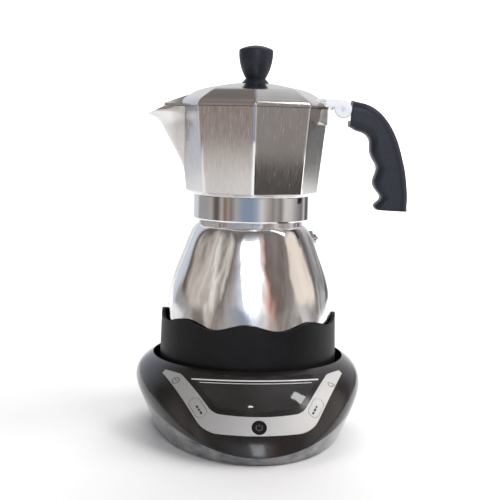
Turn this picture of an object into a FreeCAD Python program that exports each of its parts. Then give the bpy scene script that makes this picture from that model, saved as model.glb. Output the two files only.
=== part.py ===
import FreeCAD, Part
import math
import os
import Sketcher
from FreeCAD import Placement, Rotation, Vector

# Electric moka pot: an aluminium stove-top style pot that stands on a timer base.
# Millimetres. The pot's axis is the Z axis while the pieces are made, and the floor is Z = 0.
# The base faces -Y, the handle points to +X and the spout to -X.
# At the end everything is moved so that the origin is the bottom centre of the whole object.

# Driving dimensions
SIZES = {
    # Rubber feet
    "foot_radius": 6.5,
    "foot_height": 1.8,
    "foot_recess": 0.8,
    "front_foot_x": 42,
    "front_foot_y": 62,
    "back_foot_x": 38,
    "back_foot_y": 42,
    # Base housing: half ellipses round the pot's axis, with heights at the side and at the front
    "base_turn": 3.5,
    "base_wall": 2.4,
    "base_floor": 2.2,
    "bottom_half_width": 65.5,
    "bottom_front": 105,
    "bottom_back": 66,
    "seam_half_width": 76,
    "seam_front": 108.5,
    "seam_back": 77,
    "seam_side_height": 24.5,
    "seam_front_height": 6.4,
    "seam_arc_radius": 225,
    "seam_arc_start": 20,
    "seam_gap": 0.3,
    "crest_half_width": 79,
    "crest_front": 107.3,
    "crest_back": 80,
    "crest_side_height": 34.5,
    "crest_front_height": 10.5,
    "brow_half_width": 78.3,
    "brow_front": 101.2,
    "brow_back": 79.2,
    "brow_side_height": 39.2,
    "brow_front_height": 20.2,
    "shoulder_half_width": 75.5,
    "shoulder_front": 92,
    "shoulder_back": 76.5,
    "shoulder_side_height": 43.5,
    "shoulder_front_height": 31,
    "land_half_width": 70.8,
    "land_front": 75,
    "land_back": 71,
    "land_side_height": 47.8,
    "land_front_height": 46.6,
    "dome_top_radius": 62,
    "dome_top_height": 52.2,
    # Well that the pot stands in
    "well_radius": 67.3,
    "well_wall": 2.2,
    "well_floor_height": 31.5,
    "well_floor": 2.5,
    # Screw columns of the housing
    "column_radius": 4,
    "column_x": 46,
    "front_column_y": 38,
    "back_column_y": 24,
    "column_split_height": 14,
    "shell_screw_radius": 1.45,
    "shell_screw_head_radius": 2.8,
    "shell_screw_length": 19,
    "screw_head_height": 1.6,
    # Sloping front panel: a plane through the button's centre
    "panel_tilt": 50,
    "panel_y": 98.6,
    "panel_height": 22.7,
    "strip_thickness": 0.75,
    "strip_proud": 0.15,
    "inlay_gap": 0.1,
    # Window
    "window_thickness": 1.4,
    "window_ledge": 1.5,
    # Buttons
    "button_radius": 4.55,
    "button_proud": 0.4,
    "button_gap": 0.3,
    "button_flange": 1.6,
    "button_flange_thickness": 1.2,
    "button_travel": 1,
    "key_length": 15,
    "key_width": 7,
    "key_u": 38,
    "key_v": 17,
    "key_angle": 27.5,
    "key_gap": 0.25,
    "key_travel": 0.5,
    "switch_height": 0.5,
    "switch_radius": 2.2,
    # Circuit boards
    "board_thickness": 1.6,
    "board_depth": 14.6,
    "board_half_width": 41,
    "board_foot_half_width": 29,
    "board_low_v": 5,
    "board_knee_v": 10,
    "board_high_v": 23,
    "display_half_width": 24,
    "display_low_v": 14.5,
    "display_high_v": 29.5,
    "display_depth": 7,
    "power_board_width": 76,
    "power_board_length": 52,
    "power_board_y": 12,
    "power_board_height": 8,
    "post_radius": 3,
    # Central connector
    "plug_radius": 16,
    "plug_top": 42,
    "plug_flange_radius": 22,
    "plug_flange": 2.8,
    "plug_pin_hole": 3.2,
    "plug_slot_inner": 8,
    "plug_slot_outer": 11,
    "connector_screw_circle": 19,
    "connector_screw_radius": 1.4,
    "socket_gap": 0.4,
    "socket_radius": 20,
    "socket_flange_radius": 25,
    "socket_height": 16.5,
    "pin_radius": 2.6,
    "ring_inner": 8.8,
    "ring_outer": 10.2,
    # Gland for the mains lead
    "gland_radius": 5,
    "gland_bore": 3.2,
    "gland_height": 13,
    "gland_flange": 1.8,
    "gland_nose": 4.5,
    # Skirt of the pot
    "pot_gap": 0.3,
    "skirt_foot_radius": 62.8,
    "skirt_waist_radius": 62.4,
    "skirt_top_radius": 61.5,
    "skirt_wall": 2,
    "skirt_waist_height": 18,
    "skirt_height": 48.3,
    "wave_depth": 4.6,
    "skirt_turn": -2.6,
    "lug_circle": 56.8,
    "lug_radius": 4.4,
    "lug_height": 12,
    # Cover under the pot
    "cover_inset": 0.7,
    "cover_thickness": 2.5,
    "pot_screw_radius": 1.5,
    "pot_screw_head_radius": 2.9,
    "pot_screw_length": 12,
    # Boiler: soft octagons, by rise above the one below, distance from axis to corner, and corner radius
    "boiler_turn": -12.4,
    "boiler_lift": 25.2,
    "boiler_wall": 3,
    "boiler_floor": 5,
    "boiler_foot_radius": 59.2,
    "foot_corner": 38,
    "heel_rise": 4,
    "heel_radius": 61.6,
    "heel_corner": 38,
    "belly_rise": 18,
    "belly_radius": 61.8,
    "belly_corner": 36,
    "waist_rise": 13,
    "waist_radius": 59.7,
    "waist_corner": 26,
    "upper_rise": 16.6,
    "upper_radius": 54.5,
    "upper_corner": 16,
    "shoulder_rise": 13.4,
    "shoulder_radius": 49,
    "shoulder_corner": 12,
    "throat_rise": 15.5,
    "throat_radius": 42.6,
    "throat_corner": 12,
    "neck_foot_rise": 4.1,
    "neck_foot_radius": 38.95,
    "neck_foot_ease": 4.4,
    "neck_ring_rise": 3.2,
    "neck_ring_radius": 36.55,
    "neck_rise": 12.6,
    "neck_radius": 36.4,
    "neck_bore": 32.8,
    # Heating
    "heater_ring_radius": 36,
    "heater_tube_radius": 4,
    "thermostat_radius": 9,
    "thermostat_height": 6,
    "fuse_radius": 2.5,
    "fuse_length": 14,
    # Safety valve
    "valve_angle": 10.1,
    "valve_rise": 9.2,
    "valve_hex": 10.6,
    "valve_hex_length": 4,
    "valve_seat": 40.8,
    "valve_thread_radius": 4,
    "valve_nose_radius": 3.4,
    "valve_nose_length": 3.2,
    "valve_bore": 1.6,
    "valve_pin_radius": 1.5,
    "valve_pin_length": 12,
    "valve_pin_proud": 1.2,
    # Funnel
    "funnel_rim_radius": 34.5,
    "funnel_rim": 1.15,
    "funnel_basket_radius": 31,
    "funnel_depth": 26,
    "funnel_wall": 1,
    "funnel_stem_radius": 5,
    "funnel_stem_length": 66,
    "sieve_hole_radius": 1.1,
    # Gasket and filter plate
    "seal_gap": 0.05,
    "gasket_inner": 28,
    "gasket_outer": 35.7,
    "gasket_height": 3.4,
    "plate_radius": 31,
    "plate_thickness": 1,
    # Collector
    "collar_radius": 40.5,
    "collar_ledge": 0.4,
    "collar_bore": 36.9,
    "collar_gap": 0.3,
    "collar_height": 16.9,
    "slope_height": 2.9,
    "collector_foot_radius": 46.4,
    "collector_rim_radius": 52.4,
    "collector_height": 57.7,
    "collector_wall": 2.2,
    "collector_corner": 3.2,
    "collector_floor": 5.5,
    "column_foot_radius": 10,
    "column_top_radius": 5.5,
    "column_height": 38,
    "column_bore": 3.5,
    "outlet_radius": 2.6,
    # Spout
    "spout_root": 47.5,
    "spout_root_width": 23.6,
    "spout_length": 42,
    "spout_wall": 1.8,
    "spout_lip_start": 61.6,
    "spout_lip_drop": 6,
    "spout_reach": 75.5,
    # Hinge and lug
    "hinge_x": 62,
    "hinge_rise": 0.8,
    "hinge_pin_radius": 1.6,
    "hinge_pin_length": 18.4,
    "hinge_pin_gap": 0.05,
    "ear_radius": 5.9,
    "ear_inner": 6.3,
    "ear_thickness": 2.5,
    "ear_gap": 0.4,
    "lug_half_width": 10,
    "lug_root_half_width": 26,
    "lug_end": 67,
    "knuckle_radius": 4,
    "knuckle_half_width": 6,
    # Lid: octagons, by height above its own lip and distance from axis to corner
    "lid_gap": 0.3,
    "lid_radius": 52.9,
    "lid_lip": 1.6,
    "lid_wall": 1.5,
    "lid_height": 16.1,
    "lid_plateau_radius": 9.5,
    "beak_root": 40,
    "beak_root_rise": 9.8,
    "beak_half_width": 14,
    "beak_reach": 61.8,
    "beak_tip_half_width": 3.6,
    "beak_tip_rise": 2.2,
    # Knob
    "knob_x": 1,
    "knob_foot_radius": 9.45,
    "knob_foot_height": 2.6,
    "knob_neck_radius": 6.9,
    "knob_top_radius": 11.85,
    "knob_side_radius": 35,
    "knob_body_height": 21,
    "knob_crown_height": 3,
    "knob_edge": 1,
    "knob_screw_radius": 2,
    "knob_screw_length": 14,
    # Handle
    "handle_thickness": 19,
    "handle_corner": 6,
    "tongue_length": 11,
    "tongue_half_width": 4,
    "tongue_height": 7,
    "tongue_gap": 0.1,
    "handle_screw_radius": 1.9,
    "handle_screw_head_radius": 3.3,
    "handle_screw_x": 73,
}

doc = FreeCAD.newDocument("ElectricMokaPot")
sheet = doc.addObject("Spreadsheet::Sheet", "Sizes")
for row, (alias, amount) in enumerate(SIZES.items(), start=1):
    sheet.set("A%d" % row, alias)
    sheet.set("B%d" % row, str(amount))
    sheet.setAlias("B%d" % row, alias)
doc.recompute()


class Size:
    """A number together with the sheet expression that gives it."""

    def __init__(self, number, text):
        self.number = float(number)
        self.text = text

    def __float__(self):
        return self.number

    def _join(self, other, sign, number):
        other_text = other.text if isinstance(other, Size) else repr(float(other))
        return Size(number, "(%s %s %s)" % (self.text, sign, other_text))

    def __add__(self, other):
        return self._join(other, "+", self.number + float(other))

    def __sub__(self, other):
        return self._join(other, "-", self.number - float(other))

    def __mul__(self, other):
        return self._join(other, "*", self.number * float(other))

    def __truediv__(self, other):
        return self._join(other, "/", self.number / float(other))

    def __neg__(self):
        return Size(-self.number, "(0 - %s)" % self.text)

    __radd__ = __add__
    __rmul__ = __mul__


class Sheet:
    """The driving dimensions by name, read from the sheet's cells."""

    def __getattr__(self, alias):
        return Size(getattr(sheet, alias), "Sizes." + alias)


s = Sheet()

# Heights of the main faces above the floor, each from what it stands on
shell_bottom = s.foot_height - s.foot_recess
shell_floor_top = shell_bottom + s.base_floor
skirt_bottom = s.well_floor_height + s.pot_gap
cover_bottom = skirt_bottom + s.cover_inset
cover_top = cover_bottom + s.cover_thickness
boiler_bottom = skirt_bottom + s.boiler_lift
heel_height = boiler_bottom + s.heel_rise
belly_height = heel_height + s.belly_rise
waist_height = belly_height + s.waist_rise
upper_height = waist_height + s.upper_rise
shoulder_height = upper_height + s.shoulder_rise
throat_height = shoulder_height + s.throat_rise
neck_foot = throat_height + s.neck_foot_rise
neck_ring_top = neck_foot + s.neck_ring_rise
neck_top = neck_ring_top + s.neck_rise
funnel_top = neck_top + s.funnel_rim
gasket_bottom = funnel_top + s.seal_gap
gasket_top = gasket_bottom + s.gasket_height
plate_top = gasket_top + s.plate_thickness
collar_bottom = neck_ring_top + s.collar_gap
collar_top = collar_bottom + s.collar_height
collector_foot = collar_top + s.slope_height
collector_rim = collector_foot + s.collector_height
chamber_floor = collar_top + s.collector_floor
hinge_height = collector_rim + s.hinge_rise
lid_bottom = collector_rim + s.lid_gap
lid_top = lid_bottom + s.lid_height
knob_foot_top = lid_top + s.knob_foot_height
board_back = -s.board_depth - s.board_thickness
plug_flange_bottom = s.well_floor_height - s.well_floor - s.plug_flange

FULL = 2 * math.pi
FAR = 400


# Helpers for bodies and sketches

def bind(item, name, size):
    """Give a property the expression of a size."""
    item.setExpression(name, size.text if isinstance(size, Size) else repr(float(size)))


def new_body(label):
    body = doc.addObject("PartDesign::Body", label)
    body.Label = label
    return body


def datum(body, role):
    """One of the body's own origin planes or axes."""
    return [item for item in body.Origin.OriginFeatures if item.Role == role][0]


def new_sketch(body, name, role="XZ_Plane", level=0):
    sketch = body.newObject("Sketcher::SketchObject", name)
    sketch.AttachmentSupport = [(datum(body, role), "")]
    sketch.MapMode = "FlatFace"
    bind(sketch, "AttachmentOffset.Base.z", level)
    return sketch


def arc_middle(start, end, radius):
    """Centre and middle point of the arc between two points; a positive radius has its centre on the left."""
    chord = end - start
    half = chord.Length / 2
    normal = Vector(-chord.y, chord.x, 0)
    normal.normalize()
    side = 1 if radius > 0 else -1
    centre = (start + end) * 0.5 + normal * (side * math.sqrt(radius * radius - half * half))
    return centre, centre - normal * (side * abs(radius))


def draw_outline(sketch, points):
    """A closed outline of lines and arcs. A third number on a point is the radius of the arc that leaves it."""
    count = len(points)
    corners = [Vector(float(point[0]), float(point[1]), 0) for point in points]
    first = sketch.GeometryCount
    starts = []
    ends = []
    for index, point in enumerate(points):
        start = corners[index]
        end = corners[(index + 1) % count]
        if len(point) == 2:
            sketch.addGeometry(Part.LineSegment(start, end), False)
            starts.append(1)
            ends.append(2)
            continue
        centre, middle = arc_middle(start, end, float(point[2]))
        sketch.addGeometry(Part.Arc(start, middle, end), False)
        leaves_first = float(point[2]) > 0
        starts.append(1 if leaves_first else 2)
        ends.append(2 if leaves_first else 1)
    for index in range(count):
        following = (index + 1) % count
        sketch.addConstraint(Sketcher.Constraint("Coincident", first + index, ends[index],
                                                 first + following, starts[following]))
    for index, point in enumerate(points):
        for name, value in (("DistanceX", point[0]), ("DistanceY", point[1])):
            place = sketch.addConstraint(
                Sketcher.Constraint(name, -1, 1, first + index, starts[index], float(value)))
            bind(sketch, "Constraints[%d]" % place, value)
        if len(point) == 3:
            radius = point[2] if float(point[2]) > 0 else point[2] * -1
            place = sketch.addConstraint(Sketcher.Constraint("Radius", first + index, float(radius)))
            bind(sketch, "Constraints[%d]" % place, radius)


def draw_circle(sketch, x, y, radius):
    centre = Vector(float(x), float(y), 0)
    item = sketch.addGeometry(Part.Circle(centre, Vector(0, 0, 1), float(radius)), False)
    for name, value in (("DistanceX", x), ("DistanceY", y)):
        place = sketch.addConstraint(Sketcher.Constraint(name, -1, 1, item, 3, float(value)))
        bind(sketch, "Constraints[%d]" % place, value)
    place = sketch.addConstraint(Sketcher.Constraint("Radius", item, float(radius)))
    bind(sketch, "Constraints[%d]" % place, radius)


def revolve(body, sketch, name="Turned"):
    turned = body.newObject("PartDesign::Revolution", name)
    turned.Profile = sketch
    turned.ReferenceAxis = (sketch, ["V_Axis"])
    turned.Angle = 360
    sketch.Visibility = False
    return turned


def pad(body, sketch, length, name="Pad", midplane=False):
    feature = body.newObject("PartDesign::Pad", name)
    feature.Profile = sketch
    bind(feature, "Length", length)
    if midplane:
        feature.SideType = "Symmetric"
    return feature


def pocket(body, sketch, length, name="Pocket", reverse=False, midplane=False):
    feature = body.newObject("PartDesign::Pocket", name)
    feature.Profile = sketch
    bind(feature, "Length", length)
    feature.Reversed = reverse
    if midplane:
        feature.SideType = "Symmetric"
    return feature


def polar(body, features, count, name="Pattern"):
    pattern = body.newObject("PartDesign::PolarPattern", name)
    pattern.Originals = features
    pattern.Axis = (datum(body, "Z_Axis"), [""])
    pattern.Angle = 360
    pattern.Occurrences = count
    body.Tip = pattern
    return pattern


def turned_body(label, points):
    """A body turned about its own Z axis from one outline of radius and height."""
    body = new_body(label)
    sketch = new_sketch(body, label + "_profile")
    draw_outline(sketch, points)
    revolve(body, sketch)
    return body


# Helpers for free shapes

def turned_shape(points):
    """A solid turned about Z from radius and height pairs."""
    corners = [Vector(float(radius), 0, float(height)) for radius, height in points]
    face = Part.Face(Part.makePolygon(corners + corners[:1]))
    return face.revolve(Vector(0, 0, 0), Vector(0, 0, 1), 360)


def cylinder(radius, bottom, top, x=0, y=0):
    return Part.makeCylinder(float(radius), float(top) - float(bottom), Vector(float(x), float(y), float(bottom)))


def tube(outer, inner, bottom, top, x=0, y=0):
    return cylinder(outer, bottom, top, x, y).cut(cylinder(inner, bottom, top, x, y))


def block(low, high):
    corner = Vector(float(low[0]), float(low[1]), float(low[2]))
    size = [float(high[axis]) - float(low[axis]) for axis in range(3)]
    return Part.makeBox(size[0], size[1], size[2], corner)


def shape_node(label, shape):
    item = doc.addObject("Part::Feature", label)
    item.Label = label
    item.Shape = shape
    return item


def around(count, first=0):
    """Angles in degrees of things spread evenly round the axis."""
    return [first + 360.0 * index / count for index in range(count)]


def copies(shape, angles):
    """The shape turned about Z to each angle, as separate solids."""
    return Part.makeCompound([shape.rotated(Vector(0, 0, 0), Vector(0, 0, 1), angle) for angle in angles])


def soft_octagon(radius, corner, height):
    """Octagon with rounded corners; the first corner points to -Y."""
    radius = float(radius)
    corner = float(corner)
    reach = corner * math.tan(math.pi / 8)
    edges = []
    points = []
    for index in range(8):
        angle = -math.pi / 2 + index * math.pi / 4
        points.append(Vector(radius * math.cos(angle), radius * math.sin(angle), float(height)))
    for index in range(8):
        here = points[index]
        before = points[index - 1] - here
        after = points[(index + 1) % 8] - here
        side = Vector(after)
        before.normalize()
        after.normalize()
        start = here + before * reach
        end = here + after * reach
        outward = Vector(here.x, here.y, 0)
        outward.normalize()
        centre = here - outward * (corner / math.cos(math.pi / 8))
        edges.append(Part.Arc(start, centre + outward * corner, end).toShape())
        following = here + side - after * reach
        edges.append(Part.makeLine(end, following))
    return Part.Wire(edges)


def loft(wires, ruled=False):
    return Part.makeLoft(wires, True, ruled)


# Base housing: its outer surface, and the same surface set inwards

RING_COUNT = 7
RING_POINTS = 24
SEAM_POWER = 1.4


def even_points(points, count):
    """Points spread evenly along the smooth curve through the given points."""
    curve = Part.BSplineCurve()
    curve.interpolate([Vector(float(reach), 0, float(height)) for reach, height in points])
    return curve.toShape().discretize(Number=count)


def rings():
    """Half-width, front, back, heights at the side and the front, and sink of each ring, bottom first."""
    side = even_points([
        (s.seam_half_width, s.seam_side_height), (s.crest_half_width, s.crest_side_height),
        (s.brow_half_width, s.brow_side_height), (s.shoulder_half_width, s.shoulder_side_height),
        (s.land_half_width, s.land_side_height), (s.dome_top_radius, s.dome_top_height)], RING_COUNT)
    front = even_points([
        (s.seam_front, s.seam_front_height), (s.crest_front, s.crest_front_height),
        (s.brow_front, s.brow_front_height), (s.shoulder_front, s.shoulder_front_height),
        (s.land_front, s.land_front_height), (s.dome_top_radius, s.dome_top_height)], RING_COUNT)
    back = even_points([
        (s.seam_back, s.seam_side_height), (s.crest_back, s.crest_side_height),
        (s.brow_back, s.brow_side_height), (s.shoulder_back, s.shoulder_side_height),
        (s.land_back, s.land_side_height), (s.dome_top_radius, s.dome_top_height)], RING_COUNT)
    table = [(float(s.bottom_half_width), float(s.bottom_front), float(s.bottom_back), 0.0, 0.0, 1.0)]
    for index in range(RING_COUNT):
        share = 1 - index / (RING_COUNT - 1)
        power = 1 + (SEAM_POWER - 1) * share ** 2
        table.append((side[index].x, front[index].x, back[index].x, side[index].z, front[index].z, power))
    return table


def ring_point(ring, angle):
    """Point of a ring; angle 0 is the front and the front half sinks towards its middle."""
    width, front, back, side_height, front_height, power = ring
    depth = front if math.cos(angle) > 0 else back
    sink = max(math.cos(angle), 0) ** (2 * power)
    height = side_height - (side_height - front_height) * sink
    return Vector(width * math.sin(angle), -depth * math.cos(angle), height)


def inset_point(table, index, angle, inset):
    """Point of a ring moved inwards by the inset, square to the surface."""
    step = 0.01
    here = ring_point(table[index], angle)
    along = ring_point(table[index], angle + step) - ring_point(table[index], angle - step)
    lowest = 0 if index == 0 else 1
    below = ring_point(table[max(index - 1, lowest)], angle)
    above = ring_point(table[min(index + 1, len(table) - 1)], angle)
    normal = along.cross(above - below)
    normal.normalize()
    if index == 0:
        flat = Vector(normal.x, normal.y, 0)
        return here - flat * (inset / flat.Length ** 2)
    if index == len(table) - 1:
        return here - Vector(0, 0, inset)
    return here - normal * inset


def dome(inset=0.0):
    """The whole housing as one solid, set inwards: a straight skirt up to the seam and a smooth dome above."""
    angles = [FULL * index / RING_POINTS for index in range(RING_POINTS)]
    table = rings()
    wires = []
    for index in range(len(table)):
        points = [inset_point(table, index, angle, float(inset)) for angle in angles]
        curve = Part.BSplineCurve()
        curve.interpolate(Points=points, PeriodicFlag=True, Parameters=angles + [FULL])
        wires.append(Part.Wire(curve.toShape()))
    lower = Part.makeLoft(wires[:2], False, True)
    upper = Part.makeLoft(wires[1:], False, False)
    faces = lower.Faces + upper.Faces + [Part.Face(wires[0]), Part.Face(wires[-1])]
    shell = Part.makeShell(faces)
    shell.sewShape()
    solid = Part.makeSolid(shell)
    return solid if solid.Volume > 0 else solid.reversed()


def above_seam(drop=0.0):
    """Everything above the seam between the two shells, which curves down to the front."""
    reach = 200
    height = float(s.seam_side_height) - drop
    radius = float(s.seam_arc_radius)
    start = -float(s.seam_arc_start)
    end = -float(s.seam_front) - 10

    def on_arc(y):
        return height - radius + math.sqrt(radius ** 2 - (y - start) ** 2)

    corners = [Vector(-reach, reach, height), Vector(-reach, start, height), Vector(-reach, end, on_arc(end)),
               Vector(-reach, end, reach), Vector(-reach, reach, reach)]
    middle = Vector(-reach, (start + end) / 2, on_arc((start + end) / 2))
    edges = [
        Part.makeLine(corners[0], corners[1]),
        Part.Arc(corners[1], middle, corners[2]).toShape(),
        Part.makeLine(corners[2], corners[3]),
        Part.makeLine(corners[3], corners[4]),
        Part.makeLine(corners[4], corners[0]),
    ]
    return Part.Face(Part.Wire(edges)).extrude(Vector(2 * reach, 0, 0))


# Panel plane: u to the right, v up the slope, h outwards

def panel_axes():
    tilt = math.radians(float(s.panel_tilt))
    return Vector(1, 0, 0), Vector(0, math.cos(tilt), math.sin(tilt)), Vector(0, -math.sin(tilt), math.cos(tilt))


def on_panel(u, v, height=0):
    across, up, out = panel_axes()
    origin = Vector(0, -float(s.panel_y), float(s.panel_height))
    return origin + across * float(u) + up * float(v) + out * float(height)


def panel_wire(points, height):
    """Closed wire on a plane over the panel; a point marked True is the middle of an arc."""
    places = [(on_panel(point[0], point[1], height), len(point) == 3) for point in points]
    edges = []
    index = 0
    count = len(places)
    while index < count:
        here = places[index][0]
        following, is_middle = places[(index + 1) % count]
        if is_middle:
            edges.append(Part.Arc(here, following, places[(index + 2) % count][0]).toShape())
            index += 2
        else:
            edges.append(Part.makeLine(here, following))
            index += 1
    return Part.Wire(edges)


def panel_prism(points, low, high):
    out = panel_axes()[2]
    face = Part.Face(panel_wire(points, low))
    return face.extrude(out * (float(high) - float(low)))


def panel_cylinder(radius, low, high, u=0, v=0):
    out = panel_axes()[2]
    return Part.makeCylinder(float(radius), float(high) - float(low), on_panel(u, v, low), out)


def strip_outline(grow=0.0):
    """The control strip in u and v, grown all round."""
    right = [
        (27, -2.4 - grow),
        (35 + 0.7 * grow, 2.7 - 0.7 * grow, True),
        (39.6 + grow, 9.3 - 0.5 * grow),
        (60.7 + grow, 51.2),
        (58.7 + 0.4 * grow, 53.4 + grow),
        (49.5 - 0.6 * grow, 46.6 + grow),
        (48.2 - grow, 45.3 + 0.4 * grow),
        (31.7 - grow, 16.6 + 0.5 * grow),
        (28.9 - 0.7 * grow, 12.9 + 0.7 * grow, True),
        (24.9, 10.4 + grow),
    ]
    return [(0, -5.7 - grow, True)] + right + [(0, 7.0 + grow, True)] + mirror_left(right)


def mirror_left(points):
    return [(-point[0],) + tuple(point[1:]) for point in reversed(points)]


def window_outline(grow=0.0):
    """The display window in u and v, grown all round."""
    right = [(26 + grow, 15.2 - grow), (41 + grow, 38.7 + grow)]
    return [(0, 10.7 - grow, True)] + right + [(0, 32.9 + grow, True)] + mirror_left(right)


def key_outline(side, grow=0.0):
    """Oblong key along the strip's arm; side is 1 on the right and -1 on the left."""
    angle = math.radians(float(s.key_angle))
    along = (math.sin(angle) * side, math.cos(angle))
    across = (math.cos(angle), -math.sin(angle) * side)
    half_width = float(s.key_width) / 2 + grow
    half_length = (float(s.key_length) - float(s.key_width)) / 2

    def place(forward, sideways):
        u = side * float(s.key_u) + along[0] * forward + across[0] * sideways
        v = float(s.key_v) + along[1] * forward + across[1] * sideways
        return (u, v)

    return [
        place(-half_length, -half_width),
        place(half_length, -half_width),
        place(half_length + half_width, 0) + (True,),
        place(half_length, half_width),
        place(-half_length, half_width),
        place(-half_length - half_width, 0) + (True,),
    ]


def rotate_outline(points):
    """Start an outline on a point that is not the middle of an arc."""
    first = [index for index, point in enumerate(points) if len(point) == 2][0]
    return points[first:] + points[:first]


OVER_PANEL = 30
UNDER_PANEL = -45


def strip_prism(grow=0.0):
    return panel_prism(rotate_outline(strip_outline(grow)), UNDER_PANEL, OVER_PANEL)


def window_prism(grow=0.0):
    return panel_prism(rotate_outline(window_outline(grow)), UNDER_PANEL, OVER_PANEL)


def key_prism(side, grow, low, high):
    return panel_prism(rotate_outline(key_outline(side, grow)), low, high)


def columns():
    """Centres of the four screw columns."""
    x = s.column_x
    return [(-x, -s.front_column_y), (x, -s.front_column_y), (-x, s.back_column_y), (x, s.back_column_y)]


def feet():
    x_front = s.front_foot_x
    x_back = s.back_foot_x
    return [(-x_front, -s.front_foot_y), (x_front, -s.front_foot_y), (-x_back, s.back_foot_y),
            (x_back, s.back_foot_y)]


# Base pieces

button_low = -s.board_depth + s.switch_height + s.button_travel + 0.1
key_low = -s.board_depth + s.switch_height + s.key_travel + 0.1


def base_top_shell(outer, hollow):
    well_outer = s.well_radius + s.well_wall
    well_under = s.well_floor_height - s.well_floor
    shell = outer.cut(hollow).common(above_seam())
    shell = shell.fuse(cylinder(well_outer, well_under, FAR).common(outer))
    for x, y in columns():
        shell = shell.fuse(cylinder(s.column_radius, s.column_split_height, well_under + 1, x, y))
    shell = shell.cut(cylinder(s.well_radius, s.well_floor_height, FAR))
    shell = shell.cut(cylinder(s.plug_radius + 0.3, 0, FAR))
    for angle in around(3, 30):
        turn = math.radians(angle)
        x = float(s.connector_screw_circle) * math.cos(turn)
        y = float(s.connector_screw_circle) * math.sin(turn)
        shell = shell.cut(cylinder(s.connector_screw_radius, 0, s.well_floor_height - 0.7, x, y))
    for x, y in columns():
        screw_top = s.column_split_height + s.shell_screw_length / 2
        shell = shell.cut(cylinder(s.shell_screw_radius, 0, screw_top, x, y))
    strip_depth = float(s.strip_thickness) - float(s.strip_proud)
    gap = float(s.inlay_gap)
    shell = shell.cut(strip_prism(gap).cut(dome(strip_depth + gap)))
    ledge = dome(float(s.window_thickness) + gap)
    shell = shell.cut(window_prism(gap).cut(ledge))
    shell = shell.cut(window_prism(-float(s.window_ledge)))
    shell = shell.cut(panel_cylinder(s.button_radius + s.button_gap, UNDER_PANEL, OVER_PANEL))
    for side in (-1, 1):
        shell = shell.cut(key_prism(side, float(s.key_gap), UNDER_PANEL, OVER_PANEL))
    return shape_node("base_top_shell", shell)


def base_lower_shell(outer, hollow):
    bottom = block((-FAR, -FAR, shell_bottom), (FAR, FAR, FAR)).cut(above_seam(float(s.seam_gap)))
    shell = outer.cut(hollow)
    gap = float(s.seam_gap)
    for x, y in columns():
        shell = shell.fuse(cylinder(s.column_radius, shell_bottom, s.column_split_height - gap, x, y))
    half_width = float(s.power_board_width) / 2 - 5
    half_length = float(s.power_board_length) / 2 - 5
    for x in (-half_width, half_width):
        for y in (-half_length, half_length):
            post_y = y + float(s.power_board_y)
            shell = shell.fuse(cylinder(s.post_radius, shell_bottom, s.power_board_height, x, post_y))
    shell = shell.common(bottom)
    for x, y in feet():
        shell = shell.cut(cylinder(s.foot_radius + 0.1, 0, s.foot_height, x, y))
    for x, y in columns():
        shell = shell.cut(cylinder(s.shell_screw_radius + 0.25, 0, FAR, x, y))
        head_top = screw_head_bottom + s.screw_head_height
        shell = shell.cut(cylinder(s.shell_screw_head_radius + 0.3, 0, head_top, x, y))
    back = Part.makeCylinder(float(s.gland_radius) + 0.1, 40, Vector(0, 50, float(s.gland_height)),
                             Vector(0, 1, 0))
    shell = shell.cut(back)
    return shape_node("base_lower_shell", shell)


screw_head_bottom = shell_bottom + 1.5


def base_screws():
    screws = []
    for x, y in columns():
        head_top = screw_head_bottom + s.screw_head_height
        head = cylinder(s.shell_screw_head_radius, screw_head_bottom, head_top, x, y)
        shank_top = s.column_split_height + s.shell_screw_length / 2 - 0.5
        screws.append(head.fuse(cylinder(s.shell_screw_radius, screw_head_bottom, shank_top, x, y)))
    return shape_node("base_screws", Part.makeCompound(screws))


def rubber_feet():
    pads = [cylinder(s.foot_radius, 0, s.foot_height, x, y) for x, y in feet()]
    pads = [pad_shape.makeChamfer(0.4, [edge for edge in pad_shape.Edges if edge.CenterOfMass.z < 0.1])
            for pad_shape in pads]
    return shape_node("rubber_feet", Part.makeCompound(pads))


def base_connector():
    flange_top = plug_flange_bottom + s.plug_flange
    body = turned_body("base_connector", [
        (s.plug_pin_hole, plug_flange_bottom),
        (s.plug_flange_radius, plug_flange_bottom),
        (s.plug_flange_radius, flange_top),
        (s.plug_radius, flange_top),
        (s.plug_radius, s.plug_top - 1),
        (s.plug_radius - 1, s.plug_top),
        (s.plug_slot_outer, s.plug_top),
        (s.plug_slot_outer, plug_flange_bottom + 3.5),
        (s.plug_slot_inner, plug_flange_bottom + 3.5),
        (s.plug_slot_inner, s.plug_top),
        (s.plug_pin_hole, s.plug_top),
    ])
    holes = new_sketch(body, "flange_holes", "XY_Plane", plug_flange_bottom)
    draw_circle(holes, s.connector_screw_circle * math.cos(math.radians(30)),
                s.connector_screw_circle * math.sin(math.radians(30)), s.connector_screw_radius + 0.2)
    hole = pocket(body, holes, s.plug_flange, "FlangeHole", reverse=True)
    polar(body, [hole], 3)
    return body


def connector_contacts():
    spring = tube(s.plug_pin_hole - 0.1, s.pin_radius + 0.1, plug_flange_bottom - 2, s.plug_top - 4)
    ring = tube(s.plug_slot_outer - 0.1, s.ring_outer + 0.1, plug_flange_bottom + 3.6, s.plug_top - 4)
    return shape_node("connector_contacts", Part.makeCompound([spring, ring]))


def connector_screws():
    head = cylinder(s.connector_screw_radius + 1.1, plug_flange_bottom - s.screw_head_height,
                    plug_flange_bottom, s.connector_screw_circle)
    shank = cylinder(s.connector_screw_radius - 0.05, plug_flange_bottom - 0.5, s.well_floor_height - 0.8,
                     s.connector_screw_circle)
    return shape_node("connector_screws", copies(head.fuse(shank), around(3, 30)))


def display_window():
    lens = window_prism().common(dome()).cut(dome(s.window_thickness))
    return shape_node("display_window", lens)


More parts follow.
